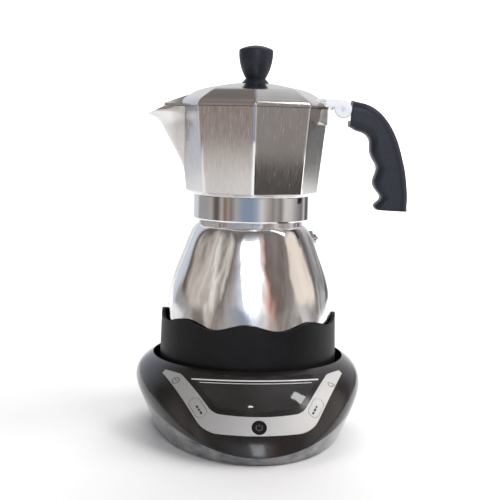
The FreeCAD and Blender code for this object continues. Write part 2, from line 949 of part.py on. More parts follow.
def control_strip():
    skin = dome(-float(s.strip_proud))
    core = dome(float(s.strip_thickness) - float(s.strip_proud))
    strip = strip_prism().common(skin).cut(core)
    strip = strip.cut(panel_cylinder(s.button_radius + s.button_gap, UNDER_PANEL, OVER_PANEL))
    for side in (-1, 1):
        strip = strip.cut(key_prism(side, float(s.key_gap), UNDER_PANEL, OVER_PANEL))
    return shape_node("control_strip", strip)


def power_button():
    cap = panel_cylinder(s.button_radius, button_low, s.button_proud)
    rim = [edge for edge in cap.Edges if (edge.CenterOfMass - on_panel(0, 0, s.button_proud)).Length < 0.1]
    cap = cap.makeFillet(0.5, rim)
    flange_top = -s.base_wall - 0.6
    flange = panel_cylinder(s.button_radius + s.button_flange, flange_top - s.button_flange_thickness, flange_top)
    return shape_node("power_button", cap.fuse(flange))


def side_key(label, side, skin, hollow):
    cap = key_prism(side, 0, key_low, OVER_PANEL).common(skin)
    flange = key_prism(side, 1.2, key_low, key_low + 0.8).common(hollow)
    return shape_node(label, cap.fuse(flange))


def control_board():
    right = [
        (s.board_foot_half_width, -s.board_low_v),
        (s.board_half_width, s.board_knee_v),
        (s.board_half_width, s.board_high_v),
    ]
    board = panel_prism(right + mirror_left(right), board_back, -s.board_depth)
    return shape_node("control_board", board)


def tact_switches():
    places = [(0, 0), (-s.key_u, s.key_v), (s.key_u, s.key_v)]
    domes = []
    for u, v in places:
        domes.append(panel_cylinder(s.switch_radius, -s.board_depth, -s.board_depth + s.switch_height, u, v))
    return shape_node("tact_switches", Part.makeCompound(domes))


def lcd_module():
    points = [
        (-s.display_half_width, s.display_low_v),
        (s.display_half_width, s.display_low_v),
        (s.display_half_width, s.display_high_v),
        (-s.display_half_width, s.display_high_v),
    ]
    return shape_node("lcd_module", panel_prism(points, -s.board_depth, -s.display_depth))


def power_board():
    body = new_body("power_board")
    sketch = new_sketch(body, "board_outline", "XY_Plane", s.power_board_height)
    half_width = s.power_board_width / 2
    front = s.power_board_y - s.power_board_length / 2
    back = s.power_board_y + s.power_board_length / 2
    draw_outline(sketch, [(-half_width, front), (half_width, front), (half_width, back), (-half_width, back)])
    pad(body, sketch, s.board_thickness)
    return body


def power_components():
    top = s.power_board_height + s.board_thickness
    centre = float(s.power_board_y)
    relay = block((-30, centre - 18, top), (-14, centre + 2, top + 12))
    transformer = block((8, centre - 20, top), (30, centre, top + 12.5))
    capacitor = cylinder(5, top, top + 13, -22, centre + 14)
    terminal = block((-8, centre + 12, top), (12, centre + 22, top + 9))
    return shape_node("power_components", Part.makeCompound([relay, transformer, capacitor, terminal]))


def back_wall_at(height):
    """How far behind the axis the lower shell's outer wall stands at a height."""
    return s.bottom_back + (s.seam_back - s.bottom_back) * height / s.seam_side_height


def cord_gland():
    flange = s.gland_radius + 2
    collar = s.gland_radius + 1
    groove_start = back_wall_at(s.gland_height - flange) - s.base_wall * 1.15 - 0.1
    groove_end = back_wall_at(s.gland_height + collar) + 0.1
    neck = groove_end - groove_start + s.gland_flange
    length = neck + s.gland_nose
    body = turned_body("cord_gland", [
        (s.gland_bore, 0),
        (flange, 0),
        (flange, s.gland_flange),
        (s.gland_radius, s.gland_flange),
        (s.gland_radius, neck),
        (collar, neck),
        (s.gland_radius - 0.4, length),
        (s.gland_bore, length),
    ])
    start = float(groove_start - s.gland_flange)
    body.Placement = Placement(Vector(0, start, float(s.gland_height)), Rotation(Vector(1, 0, 0), -90))
    return body


# Pot pieces

def connector_seal():
    low = skirt_bottom + 0.4
    return turned_body("connector_seal", [
        (s.plug_radius + 0.9, low),
        (s.plug_radius + 2.5, low),
        (s.plug_radius + 2.5, low + 2),
        (s.plug_radius + 0.9, low + 2),
    ])


socket_bottom = cover_bottom + 1
socket_top = socket_bottom + s.socket_height
socket_roof = socket_bottom + 9.5


def pot_connector():
    bore = s.plug_radius + s.socket_gap
    groove = s.plug_radius + 2.7
    return turned_body("pot_connector", [
        (s.pin_radius, socket_roof),
        (s.ring_inner, socket_roof),
        (s.ring_inner, socket_roof + 3),
        (s.ring_outer, socket_roof + 3),
        (s.ring_outer, socket_roof),
        (bore, socket_roof),
        (bore, socket_bottom + 1),
        (groove, socket_bottom + 1),
        (groove, socket_bottom),
        (s.socket_radius, socket_bottom),
        (s.socket_radius, cover_top),
        (s.socket_flange_radius, cover_top),
        (s.socket_flange_radius, cover_top + 2),
        (s.socket_radius, cover_top + 2),
        (s.socket_radius, socket_top),
        (s.pin_radius, socket_top),
    ])


def pot_contacts():
    pin = cylinder(s.pin_radius - 0.05, socket_bottom + 1, socket_top + 2)
    tip = [edge for edge in pin.Edges if abs(edge.CenterOfMass.z - float(socket_bottom) - 1) < 0.01]
    pin = pin.makeFillet(1.5, tip)
    ring = tube(s.ring_outer, s.ring_inner, socket_bottom + 1, socket_roof + 3)
    return shape_node("pot_contacts", Part.makeCompound([pin, ring]))


def pot_base_cover():
    body = new_body("pot_base_cover")
    sketch = new_sketch(body, "plate", "XY_Plane", cover_bottom)
    draw_circle(sketch, 0, 0, s.skirt_foot_radius - s.skirt_wall - 0.3)
    draw_circle(sketch, 0, 0, s.socket_radius + 0.2)
    pad(body, sketch, s.cover_thickness)
    holes = new_sketch(body, "screw_hole", "XY_Plane", cover_bottom)
    draw_circle(holes, s.lug_circle, 0, s.pot_screw_radius + 0.2)
    hole = pocket(body, holes, s.cover_thickness, "ScrewHole", reverse=True)
    heads = new_sketch(body, "head_recess", "XY_Plane", cover_bottom)
    draw_circle(heads, s.lug_circle, 0, s.pot_screw_head_radius + 0.2)
    recess = pocket(body, heads, 1.4, "HeadRecess", reverse=True)
    polar(body, [hole, recess], 3)
    return body


def pot_screws():
    head = cylinder(s.pot_screw_head_radius, cover_bottom + 0.1, cover_bottom + 1.4, s.lug_circle)
    shank = cylinder(s.pot_screw_radius, cover_bottom + 0.5, cover_bottom + s.pot_screw_length, s.lug_circle)
    return shape_node("pot_screws", copies(head.fuse(shank), around(3)))


WAVE_COUNT = 8
WAVE_POINTS = 8
# The cutter for the wavy edge: shares of the skirt's radius that it lies between, and its height over the edge
WAVE_CUT_SHARES = (0.7, 1.3)
WAVE_CUT_OVER = 10


def wave_cutter(top):
    """Everything above the skirt's wavy edge; a valley of the wave points to -Y."""
    deep = float(s.wave_depth)
    count = WAVE_COUNT * WAVE_POINTS
    angles = [FULL * index / count for index in range(count)]
    inner, outer = [float(s.skirt_top_radius) * share for share in WAVE_CUT_SHARES]
    above = float(top) + WAVE_CUT_OVER

    def ring(radius, wavy):
        points = []
        for angle in angles:
            level = float(top) - deep * (1 + math.cos(WAVE_COUNT * angle)) / 2 if wavy else above
            points.append(Vector(radius * math.sin(angle), -radius * math.cos(angle), level))
        curve = Part.BSplineCurve()
        curve.interpolate(Points=points, PeriodicFlag=True, Parameters=angles + [FULL])
        return Part.Wire(curve.toShape())

    corners = [ring(inner, True), ring(outer, True), ring(outer, False), ring(inner, False)]
    faces = []
    for index, wire in enumerate(corners):
        faces += Part.makeLoft([wire, corners[(index + 1) % 4]], False, True).Faces
    shell = Part.makeShell(faces)
    shell.sewShape()
    solid = Part.makeSolid(shell)
    return solid if solid.Volume > 0 else solid.reversed()


def skirt():
    top = skirt_bottom + s.skirt_height
    waist = skirt_bottom + s.skirt_waist_height
    ring = turned_shape([
        (s.skirt_foot_radius - s.skirt_wall, skirt_bottom),
        (s.skirt_foot_radius, skirt_bottom),
        (s.skirt_waist_radius, waist),
        (s.skirt_top_radius, top),
        (s.skirt_top_radius - s.skirt_wall, top),
        (s.skirt_waist_radius - s.skirt_wall, waist),
    ])
    lug_top = cover_top + s.lug_height
    ring = ring.fuse([*copies(cylinder(s.lug_radius, cover_top, lug_top, s.lug_circle), around(3)).Solids])
    ring = ring.cut(copies(cylinder(s.pot_screw_radius, cover_top, lug_top, s.lug_circle), around(3)))
    return shape_node("skirt", ring.cut(wave_cutter(top)))


def boiler_sections():
    """Height, corner distance and corner radius of each section of the boiler's outside, bottom first."""
    return [
        (boiler_bottom, s.boiler_foot_radius, s.foot_corner),
        (heel_height, s.heel_radius, s.heel_corner),
        (belly_height, s.belly_radius, s.belly_corner),
        (waist_height, s.waist_radius, s.waist_corner),
        (upper_height, s.upper_radius, s.upper_corner),
        (shoulder_height, s.shoulder_radius, s.shoulder_corner),
        (throat_height, s.throat_radius, s.throat_corner),
        (neck_foot, s.neck_foot_radius, s.neck_foot_radius - s.neck_foot_ease),
    ]


def valve_point(distance=0.0):
    """Point on the safety valve's axis at a distance from the pot's axis."""
    angle = math.radians(float(s.valve_angle))
    return Vector(distance * math.cos(angle), distance * math.sin(angle), float(shoulder_height + s.valve_rise))


def valve_axis():
    angle = math.radians(float(s.valve_angle))
    return Vector(math.cos(angle), math.sin(angle), 0)


def boiler_hollow():
    """The water space: round, and a wall's thickness inside the flats of each section."""
    flat = math.cos(math.pi / 8)
    floor = boiler_bottom + s.boiler_floor
    profile = [(0, floor), (s.boiler_foot_radius * flat - s.boiler_wall, floor)]
    for height, radius, corner in boiler_sections()[1:-1]:
        lift = s.boiler_floor if height is heel_height else 0
        profile.append((radius * flat - s.boiler_wall, height + lift))
    profile += [(s.neck_bore, neck_foot), (s.neck_bore, neck_top + 1), (0, neck_top + 1)]
    return turned_shape(profile)


def boiler():
    shell = loft([soft_octagon(radius, corner, height) for height, radius, corner in boiler_sections()])
    shell = shell.fuse(cylinder(s.neck_ring_radius, neck_foot - 1, neck_ring_top))
    shell = shell.fuse(cylinder(s.neck_radius, neck_foot - 1, neck_top))
    shell.rotate(Vector(0, 0, 0), Vector(0, 0, 1), float(s.boiler_turn))
    shell = shell.cut(boiler_hollow())
    hole = Part.makeCylinder(float(s.valve_thread_radius), 20, valve_point(30), valve_axis())
    seat = Part.makeCylinder(float(s.valve_hex) * 0.62, 20, valve_point(float(s.valve_seat)), valve_axis())
    shell = shell.cut(hole).cut(seat)
    return shape_node("boiler", shell)


def heater_element():
    level = float(boiler_bottom) - float(s.heater_tube_radius)
    ring = Part.makeTorus(float(s.heater_ring_radius), float(s.heater_tube_radius), Vector(0, 0, level))
    gap = block((-60, -8, level - 10), (-20, 8, level + 10))
    ring = ring.cut(gap)
    plate = cylinder(s.heater_ring_radius - s.heater_tube_radius - 0.5, boiler_bottom - 1.5, boiler_bottom)
    return shape_node("heater_element", Part.makeCompound([ring, plate]))


def thermostat():
    top = boiler_bottom - 1.5
    can = cylinder(s.thermostat_radius, top - s.thermostat_height + 2, top, 22, 0)
    return shape_node("thermostat", can)


def thermal_fuse():
    radius = float(s.fuse_radius)
    level = float(boiler_bottom) - 1.5 - radius
    fuse = Part.makeCylinder(radius, float(s.fuse_length), Vector(-26, 12, level), Vector(0.6, 0.8, 0))
    return shape_node("thermal_fuse", fuse)


def safety_valve_body():
    """Hexagon, nose and threaded shank, turned about Z and then laid along the valve's axis."""
    body = new_body("safety_valve_body")
    hexagon = new_sketch(body, "hexagon", "XY_Plane", s.valve_seat)
    corner = s.valve_hex / 2 / math.cos(math.pi / 6)
    points = []
    for index in range(6):
        angle = math.pi / 6 + index * math.pi / 3
        points.append((corner * math.cos(angle), corner * math.sin(angle)))
    draw_outline(hexagon, points)
    pad(body, hexagon, s.valve_hex_length, "Hexagon")
    hex_end = s.valve_seat + s.valve_hex_length
    shank = new_sketch(body, "shank_and_nose")
    draw_outline(shank, [
        (0, s.valve_seat - 6),
        (s.valve_thread_radius, s.valve_seat - 6),
        (s.valve_thread_radius, s.valve_seat + 0.5),
        (s.valve_nose_radius, s.valve_seat + 0.5),
        (s.valve_nose_radius, hex_end + s.valve_nose_length - 0.6),
        (s.valve_nose_radius - 0.6, hex_end + s.valve_nose_length),
        (0, hex_end + s.valve_nose_length),
    ])
    revolve(body, shank, "ShankAndNose")
    bore = new_sketch(body, "pin_bore", "XY_Plane", s.valve_seat - 6)
    draw_circle(bore, 0, 0, s.valve_bore)
    pocket(body, bore, s.valve_hex_length + s.valve_nose_length + 8, "PinBore", reverse=True)
    lay_on_valve_axis(body)
    return body


def lay_on_valve_axis(body):
    """Turn the body's Z axis to the valve's axis, through the pot's axis at the valve's height."""
    spin = Rotation(Vector(0, 0, 1), valve_axis())
    body.Placement = Placement(valve_point(0), spin)


def valve_pin():
    end = s.valve_seat + s.valve_hex_length + s.valve_nose_length + s.valve_pin_proud
    start = end - s.valve_pin_length
    body = turned_body("valve_pin", [
        (0, start),
        (s.valve_pin_radius, start),
        (s.valve_pin_radius, end - 0.4),
        (s.valve_pin_radius - 0.4, end),
        (0, end),
    ])
    lay_on_valve_axis(body)
    return body


def funnel():
    basket_bottom = neck_top - s.funnel_depth
    stem_bottom = basket_bottom - s.funnel_stem_length
    inner = s.funnel_basket_radius - s.funnel_wall
    bore = s.funnel_stem_radius - s.funnel_wall
    sieve = basket_bottom + 4
    body = turned_body("funnel", [
        (bore, stem_bottom),
        (s.funnel_stem_radius, stem_bottom),
        (s.funnel_stem_radius, basket_bottom - 3),
        (s.funnel_basket_radius - 3, basket_bottom),
        (s.funnel_basket_radius, basket_bottom + 3),
        (s.funnel_basket_radius, neck_top),
        (s.funnel_rim_radius, neck_top),
        (s.funnel_rim_radius, funnel_top),
        (inner, funnel_top),
        (inner, sieve),
        (0, sieve),
        (0, sieve - s.funnel_wall),
        (inner, sieve - s.funnel_wall),
        (inner - 2.6, basket_bottom + s.funnel_wall),
        (bore, basket_bottom + s.funnel_wall - 3),
    ])
    sieve_holes(body, sieve - s.funnel_wall, s.funnel_wall)
    return body


def sieve_holes(body, level, thickness):
    """Two circles of holes through a round plate."""
    for ring, count in ((9, 6), (18, 12)):
        holes = new_sketch(body, "holes_%d" % ring, "XY_Plane", level)
        draw_circle(holes, ring, 0, s.sieve_hole_radius)
        hole = pocket(body, holes, thickness, "Holes%d" % ring, reverse=True)
        polar(body, [hole], count, "HoleRing%d" % ring)


def gasket():
    return turned_body("gasket", [
        (s.gasket_inner, gasket_bottom),
        (s.gasket_outer, gasket_bottom),
        (s.gasket_outer, gasket_top),
        (s.gasket_inner, gasket_top),
    ])


def filter_plate():
    body = new_body("filter_plate")
    sketch = new_sketch(body, "disc", "XY_Plane", gasket_top)
    draw_circle(sketch, 0, 0, s.plate_radius)
    pad(body, sketch, s.plate_thickness)
    sieve_holes(body, gasket_top, s.plate_thickness)
    return body


# Spout: tip distance by height, from the foot of the keel to the rim
SPOUT_KEEL = ((0, 47.6), (13.4, 54.4), (24.8, 60.8), (32.2, 64.9), (37.3, 70.3), (39.2, 75.5), (47, 79))


def spout_section(height, tip, inset=0.0):
    """Triangle on a level plane with a rounded tip that points to -X."""
    rim = float(collector_rim)
    length = float(s.spout_length) + 3
    slope = float(s.spout_root_width) / 2 / length
    root = float(s.spout_root)
    half = 0.6 + slope * height
    angle = math.atan2(half, max(tip - root, 0.5))
    half -= inset / math.cos(angle)
    tip -= inset / math.sin(angle)
    inner = root - 6
    wide = half + (root - inner) * math.tan(angle)
    nose = min(1.2, half * 0.4)
    level = rim - length + height
    back = nose / math.tan(angle)
    left = Vector(-tip, 0, level) + Vector(back * math.cos(angle), back * math.sin(angle), 0)
    right = Vector(left.x, -left.y, level)
    front = Vector(-tip + nose * (1 / math.sin(angle) - 1), 0, level)
    return Part.Wire([
        Part.makeLine(Vector(-inner, -wide, level), Vector(-inner, wide, level)),
        Part.makeLine(Vector(-inner, wide, level), left),
        Part.Arc(left, front, right).toShape(),
        Part.makeLine(right, Vector(-inner, -wide, level)),
    ])


def spout_cut():
    """Everything above the lip of the spout, which slopes down to the tip."""
    rim = float(collector_rim)
    lip = float(s.spout_lip_start)
    tip = float(s.spout_reach)
    drop = float(s.spout_lip_drop)
    slope = drop / (tip - lip)
    end = tip + 30
    corners = [Vector(-30, -60, rim), Vector(-lip, -60, rim), Vector(-end, -60, rim - slope * (end - lip)),
               Vector(-end, -60, rim + 60), Vector(-30, -60, rim + 60)]
    return Part.Face(Part.makePolygon(corners + corners[:1])).extrude(Vector(0, 120, 0))


def side_prism(points, half_width):
    """A flat outline of X and Z pairs, extruded both ways along Y."""
    width = float(half_width)
    corners = [Vector(float(x), -width, float(z)) for x, z in points]
    return Part.Face(Part.makePolygon(corners + corners[:1])).extrude(Vector(0, 2 * width, 0))


def hinge_cylinder(radius, low, high):
    return Part.makeCylinder(float(radius), float(high) - float(low),
                             Vector(float(s.hinge_x), float(low), float(hinge_height)), Vector(0, 1, 0))


def lug():
    rim = float(collector_rim)
    end = float(s.lug_end)
    half = float(s.lug_half_width)
    side = side_prism([
        (38, rim - 5.5), (50.4, rim - 10.8), (53.8, rim - 9.7), (end, rim - 7.3),
        (end, rim + 1.4), (54.4, rim + 1.4), (54.4, rim), (38, rim)], 40)
    plan = [(36, -float(s.lug_root_half_width)), (51, -half), (end, -half), (end, half), (51, half),
            (36, float(s.lug_root_half_width))]
    corners = [Vector(x, y, rim - 30) for x, y in plan]
    plan_prism = Part.Face(Part.makePolygon(corners + corners[:1])).extrude(Vector(0, 0, 60))
    body = side.common(plan_prism)
    knuckle = float(s.knuckle_half_width)
    body = body.fuse(hinge_cylinder(s.knuckle_radius, -knuckle, knuckle))
    tongue_top = rim - 2
    body = body.fuse(block((end - 2, -s.tongue_half_width, tongue_top - float(s.tongue_height) + 2),
                           (end + float(s.tongue_length), s.tongue_half_width, tongue_top)))
    recess = float(s.ear_radius) + float(s.ear_gap)
    body = body.cut(hinge_cylinder(recess, knuckle + 0.1, half + 20))
    body = body.cut(hinge_cylinder(recess, -half - 20, -knuckle - 0.1))
    body = body.cut(hinge_cylinder(s.hinge_pin_radius, -20, 20))
    return body


def collector():
    rim = float(collector_rim)
    foot = float(collector_foot)
    corner = float(s.collector_corner)
    wall = float(s.collector_wall)
    inset = wall / math.cos(math.pi / 8)
    slope_foot = float(s.collar_radius) - float(s.collar_ledge)
    vessel = loft([soft_octagon(s.collector_foot_radius, corner, foot),
                   soft_octagon(s.collector_rim_radius, corner, rim)], True)
    slope = loft([soft_octagon(slope_foot / math.cos(math.pi / 8), slope_foot - 0.6, collar_top),
                  soft_octagon(s.collector_foot_radius, corner, foot)], True)
    edge = 1.2
    collar = turned_shape([
        (0, collar_bottom), (s.collar_radius - edge, collar_bottom), (s.collar_radius - 0.3, collar_bottom + 0.4),
        (s.collar_radius, collar_bottom + edge), (s.collar_radius, collar_top), (0, collar_top)])
    sections = [spout_section(height, tip) for height, tip in SPOUT_KEEL]
    spout = loft(sections).cut(spout_cut())
    solid = vessel.fuse(slope).fuse(collar).fuse(spout).fuse(lug())
    chamber_depth = float(chamber_floor)
    share = (chamber_depth - foot) / (rim - foot)
    growth = float(s.collector_rim_radius) - float(s.collector_foot_radius)
    floor_radius = float(s.collector_foot_radius) + growth * share
    over = 1.0
    rim_radius = float(s.collector_rim_radius) + growth * over / (rim - foot)
    chamber = loft([soft_octagon(floor_radius - inset, corner, chamber_depth),
                    soft_octagon(rim_radius - inset, corner, rim + over)], True)
    solid = solid.cut(chamber)
    cavity_levels = [row for row in SPOUT_KEEL if row[0] > 13]
    cavity = loft([spout_section(height, tip, float(s.spout_wall)) for height, tip in cavity_levels])
    solid = solid.cut(cavity)
    bore = turned_shape([
        (0, collar_bottom - 1), (s.collar_bore, collar_bottom - 1), (s.collar_bore, gasket_top),
        (s.plate_radius + 0.3, gasket_top), (s.plate_radius + 0.3, plate_top + 0.1), (s.gasket_inner - 1, plate_top + 0.1),
        (s.column_foot_radius - 2, plate_top + 1.4), (0, plate_top + 1.4)])
    solid = solid.cut(bore)
    column_top = chamber_floor + s.column_height
    column = turned_shape([
        (0, chamber_floor - 0.5), (s.column_foot_radius, chamber_floor - 0.5),
        (s.column_foot_radius - 2.5, chamber_floor + 3), (s.column_top_radius, column_top - 2),
        (s.column_top_radius - 1.5, column_top), (0, column_top)])
    solid = solid.fuse(column)
    solid = solid.cut(cylinder(s.column_bore, plate_top, column_top - 2))
    for direction in (Vector(0, 1, 0), Vector(1, 0, 0)):
        middle = Vector(0, 0, float(column_top) - 6.5)
        outlet = Part.makeCylinder(float(s.outlet_radius), 20, middle - direction * 10, direction)
        solid = solid.cut(outlet)
    screw_x = float(s.handle_screw_x)
    solid = solid.cut(cylinder(s.handle_screw_radius, rim - 20, rim, screw_x))
    return shape_node("collector", solid)


def hinge_pin():
    body = turned_body("hinge_pin", [
        (0, -s.hinge_pin_length / 2),
        (s.hinge_pin_radius - s.hinge_pin_gap, -s.hinge_pin_length / 2),
        (s.hinge_pin_radius - s.hinge_pin_gap, s.hinge_pin_length / 2),
        (0, s.hinge_pin_length / 2),
    ])
    body.Placement = Placement(Vector(float(s.hinge_x), 0, float(hinge_height)), Rotation(Vector(1, 0, 0), -90))
    return body


# Lid dome: rise above the lip's bottom by distance from the axis to the corner
LID_RIDGE = ((51, 4.1), (47, 6.9), (40, 10.9), (30, 13.7), (20, 15.6))


def lid_shape(inset=0.0):
    """The lid's dome with its beak, set inwards and downwards by the inset."""
    bottom = float(lid_bottom)
    side = inset / math.cos(math.pi / 8)
    corner = max(float(s.collector_corner) - inset, 0.4)
    low = bottom - (2 if inset else 0)
    rim = float(s.lid_radius) - side
    top = float(lid_top) - inset
    lip_top = bottom + float(s.lid_lip) - inset * 0.5
    plateau = float(s.lid_plateau_radius) / math.cos(math.pi / 8)
    lip = loft([soft_octagon(rim, corner, low), soft_octagon(rim, corner, lip_top)], True)
    wires = [soft_octagon(rim, corner, lip_top)]
    for radius, rise in LID_RIDGE:
        wires.append(soft_octagon(radius - side * 0.6, corner, bottom + rise - inset))
    wires.append(soft_octagon(plateau, float(s.lid_plateau_radius) - 0.2, top))
    return lip.fuse(loft(wires)).fuse(beak(inset, low))


def beak(inset, low):
    """The pointed cover over the spout: a ridge that falls to the tip."""
    bottom = float(lid_bottom)
    lip_top = bottom + float(s.lid_lip)
    sections = []
    for x, half, rise in ((float(s.beak_root), float(s.beak_half_width), float(s.beak_root_rise)),
                          (float(s.beak_reach) - inset, float(s.beak_tip_half_width), float(s.beak_tip_rise))):
        half -= inset
        corners = [Vector(-x, -half, low), Vector(-x, half, low), Vector(-x, half, lip_top - inset),
                   Vector(-x, 0, bottom + rise - inset), Vector(-x, -half, lip_top - inset)]
        sections.append(Part.makePolygon(corners + corners[:1]))
    return loft(sections, True)


def lid():
    shell = lid_shape().cut(lid_shape(float(s.lid_wall)))
    outer = float(s.ear_inner) + float(s.ear_thickness)
    arm_top = float(hinge_height) + float(s.ear_radius)
    arm_low = float(lid_bottom) + float(s.lid_lip)
    arm = side_prism([(44, arm_low), (44, arm_top + 0.4), (50, arm_top + 0.6), (float(s.hinge_x), arm_top),
                      (float(s.hinge_x), arm_low)], outer)
    arm = arm.fuse(hinge_cylinder(s.ear_radius, -outer, outer))
    arm = arm.cut(block((40, -s.ear_inner, 0), (80, s.ear_inner, FAR)))
    keep_inside = lid_shape(float(s.lid_wall))
    arm = arm.cut(keep_inside)
    shell = shell.fuse(arm)
    shell = shell.cut(hinge_cylinder(s.hinge_pin_radius + s.hinge_pin_gap, -20, 20))
    shell = shell.cut(cylinder(s.knob_foot_radius + 0.5, lid_top, FAR, s.knob_x))
    shell = shell.cut(cylinder(s.knob_screw_radius + 0.2, lid_bottom, FAR, s.knob_x))
    return shape_node("lid", shell)


def knob():
    top = knob_foot_top + s.knob_body_height
    crown = top + s.knob_crown_height
    crown_edge = s.knob_top_radius - s.knob_edge
    crown_rise = s.knob_crown_height - s.knob_edge / 2
    crown_radius = (crown_edge * crown_edge + crown_rise * crown_rise) / crown_rise / 2
    body = turned_body("knob", [
        (s.knob_screw_radius, lid_top),
        (s.knob_foot_radius, lid_top),
        (s.knob_foot_radius, lid_top + 1),
        (s.knob_neck_radius, knob_foot_top + 1.2, s.knob_side_radius),
        (s.knob_top_radius, top - s.knob_edge, s.knob_edge * 1.5),
        (crown_edge, top + s.knob_edge / 2, crown_radius),
        (0, crown),
        (0, crown - 8),
        (s.knob_screw_radius, crown - 8),
    ])
    body.Placement = Placement(Vector(float(s.knob_x), 0, 0), Rotation())
    return body


def knob_screw():
    top = lid_top - s.lid_wall
    head = turned_shape([(0, top - 1.8), (2.4, top - 1.8), (3.6, top - 0.9), (3.6, top), (0, top)])
    shank = cylinder(s.knob_screw_radius - 0.05, top - 0.5, lid_top + s.knob_screw_length)
    screw = head.fuse(shank)
    screw.translate(Vector(float(s.knob_x), 0, 0))
    return shape_node("knob_screw", screw)


# Handle: inner and outer point of each station down the grip, as X and height above the boiler's neck
GRIP_STATIONS = (
    ((66.9, 53.9), (68.8, 72.0)),
    ((71.5, 51.5), (77.0, 70.2)),
    ((77.5, 49.4), (88.2, 64.2)),
    ((81.6, 44.8), (96.2, 54.6)),
    ((82.2, 38.0), (102.0, 42.4)),
    ((84.2, 32.0), (105.0, 32.5)),
    ((87.4, 25.1), (107.1, 24.3)),
    ((85.4, 17.6), (108.3, 16.8)),
    ((86.4, 11.5), (109.0, 11.0)),
    ((90.4, 3.6), (109.5, 2.8)),
    ((88.0, -3.6), (109.7, -4.4)),
)


def grip_section(inner, outer):
    """Rounded rectangle between the inner and the outer point, across the handle."""
    base = float(neck_top)
    start = Vector(inner[0], 0, base + inner[1])
    end = Vector(outer[0], 0, base + outer[1])
    depth = end - start
    length = depth.Length
    depth.normalize()
    half = float(s.handle_thickness) / 2
    corner = min(float(s.handle_corner), length * 0.45, half * 0.9)
    across = Vector(0, 1, 0)

    def place(forward, sideways):
        return start + depth * forward + across * sideways

    diagonal = corner * (1 - math.sqrt(0.5))
    edges = []
    for turn in range(4):
        near = turn in (0, 1)
        left = turn in (0, 3)
        forward = 0 if near else length
        sideways = -half if left else half
        inward = 1 if near else -1
        across_in = 1 if left else -1
        along_end = place(forward + inward * corner, sideways)
        side_end = place(forward, sideways + across_in * corner)
        middle = place(forward + inward * diagonal, sideways + across_in * diagonal)
        edges.append((along_end, middle, side_end) if turn in (0, 2) else (side_end, middle, along_end))
    outline = []
    for index, (first, middle, last) in enumerate(edges):
        outline.append(Part.Arc(first, middle, last).toShape())
        outline.append(Part.makeLine(last, edges[(index + 1) % 4][0]))
    return Part.Wire(outline)


def handle():
    grip = loft([grip_section(inner, outer) for inner, outer in GRIP_STATIONS])
    rim = float(collector_rim)
    end = float(s.lug_end)
    gap = float(s.tongue_gap)
    tongue_top = rim - 2
    slot = block((end - 10, -s.tongue_half_width - gap, tongue_top - float(s.tongue_height) + 2 - gap),
                 (end + float(s.tongue_length) + gap, s.tongue_half_width + gap, tongue_top + gap))
    grip = grip.cut(slot)
    screw_x = float(s.handle_screw_x)
    grip = grip.cut(cylinder(s.handle_screw_radius + 0.2, rim - 30, rim - 3, screw_x))
    grip = grip.cut(cylinder(s.handle_screw_head_radius + 0.2, rim - 30, handle_screw_seat(), screw_x))
    return shape_node("handle", grip)


def handle_screw_seat():
    return float(collector_rim) - 11.5


def handle_screw():
    seat = handle_screw_seat()
    x = float(s.handle_screw_x)
    head = cylinder(s.handle_screw_head_radius, seat - 1.8, seat, x)
    shank = cylinder(s.handle_screw_radius - 0.05, seat - 0.5, float(collector_rim) - 2.4, x)
    return shape_node("handle_screw", head.fuse(shank))


def build():
    outer = dome()
    below_floor = block((-FAR, -FAR, -FAR), (FAR, FAR, shell_floor_top))
    hollow = dome(s.base_wall).cut(below_floor)
    skin = dome(-float(s.strip_proud))
    key_room = dome(float(s.base_wall) + 0.3)
    base = [
        base_top_shell(outer, hollow), base_lower_shell(outer, hollow), rubber_feet(), base_screws(),
        base_connector(), connector_contacts(), connector_screws(), display_window(), lcd_module(),
        control_board(), tact_switches(), power_board(), power_components(), control_strip(), power_button(),
        side_key("timer_key", -1, skin, key_room), side_key("mode_key", 1, skin, key_room), cord_gland()]
    skirt_group = [skirt(), pot_base_cover(), pot_screws()]
    pot = [
        connector_seal(), boiler(), heater_element(), thermostat(), thermal_fuse(), pot_connector(),
        pot_contacts(), safety_valve_body(), valve_pin(), funnel(), gasket(), filter_plate(), collector(),
        hinge_pin(), handle(), handle_screw(), lid(), knob(), knob_screw()]
    return base, skirt_group, pot


def turned_placement(angle):
    return Placement(Vector(0, 0, 0), Rotation(Vector(0, 0, 1), float(angle)))


base_nodes, skirt_nodes, pot_nodes = build()
doc.recompute()
nodes = base_nodes + skirt_nodes + pot_nodes
for node in base_nodes:
    node.Placement = turned_placement(s.base_turn) * node.Placement
for node in skirt_nodes:
    node.Placement = turned_placement(s.skirt_turn - 67.5) * node.Placement

# The origin goes to the bottom centre of the whole object
box = Part.makeCompound([node.Shape for node in nodes]).optimalBoundingBox(False, False)
shift = Placement(Vector(-(box.XMin + box.XMax) / 2, -(box.YMin + box.YMax) / 2, -box.ZMin), Rotation())
for node in nodes:
    node.Placement = shift * node.Placement
doc.recompute()
print("pot axis at", round(shift.Base.x, 3), round(shift.Base.y, 3))
print("size", round(box.XLength, 2), round(box.YLength, 2), round(box.ZLength, 2))

for item in doc.Objects:
    if "Invalid" in item.State or "Error" in item.State:
        raise RuntimeError("%s did not build: %s" % (item.Label, item.State))
for node in nodes:
    if node.Shape.isNull() or not node.Shape.isValid():
        raise RuntimeError("%s has no valid shape" % node.Label)

os.makedirs("parts", exist_ok=True)
for node in nodes:
    node.Shape.exportStep("parts/%s.step" % node.Label)
    print(node.Label, len(node.Shape.Solids), round(node.Shape.Volume / 1000, 2))
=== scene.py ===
import math

import bmesh
import bpy
from mathutils import Matrix, Quaternion, Vector

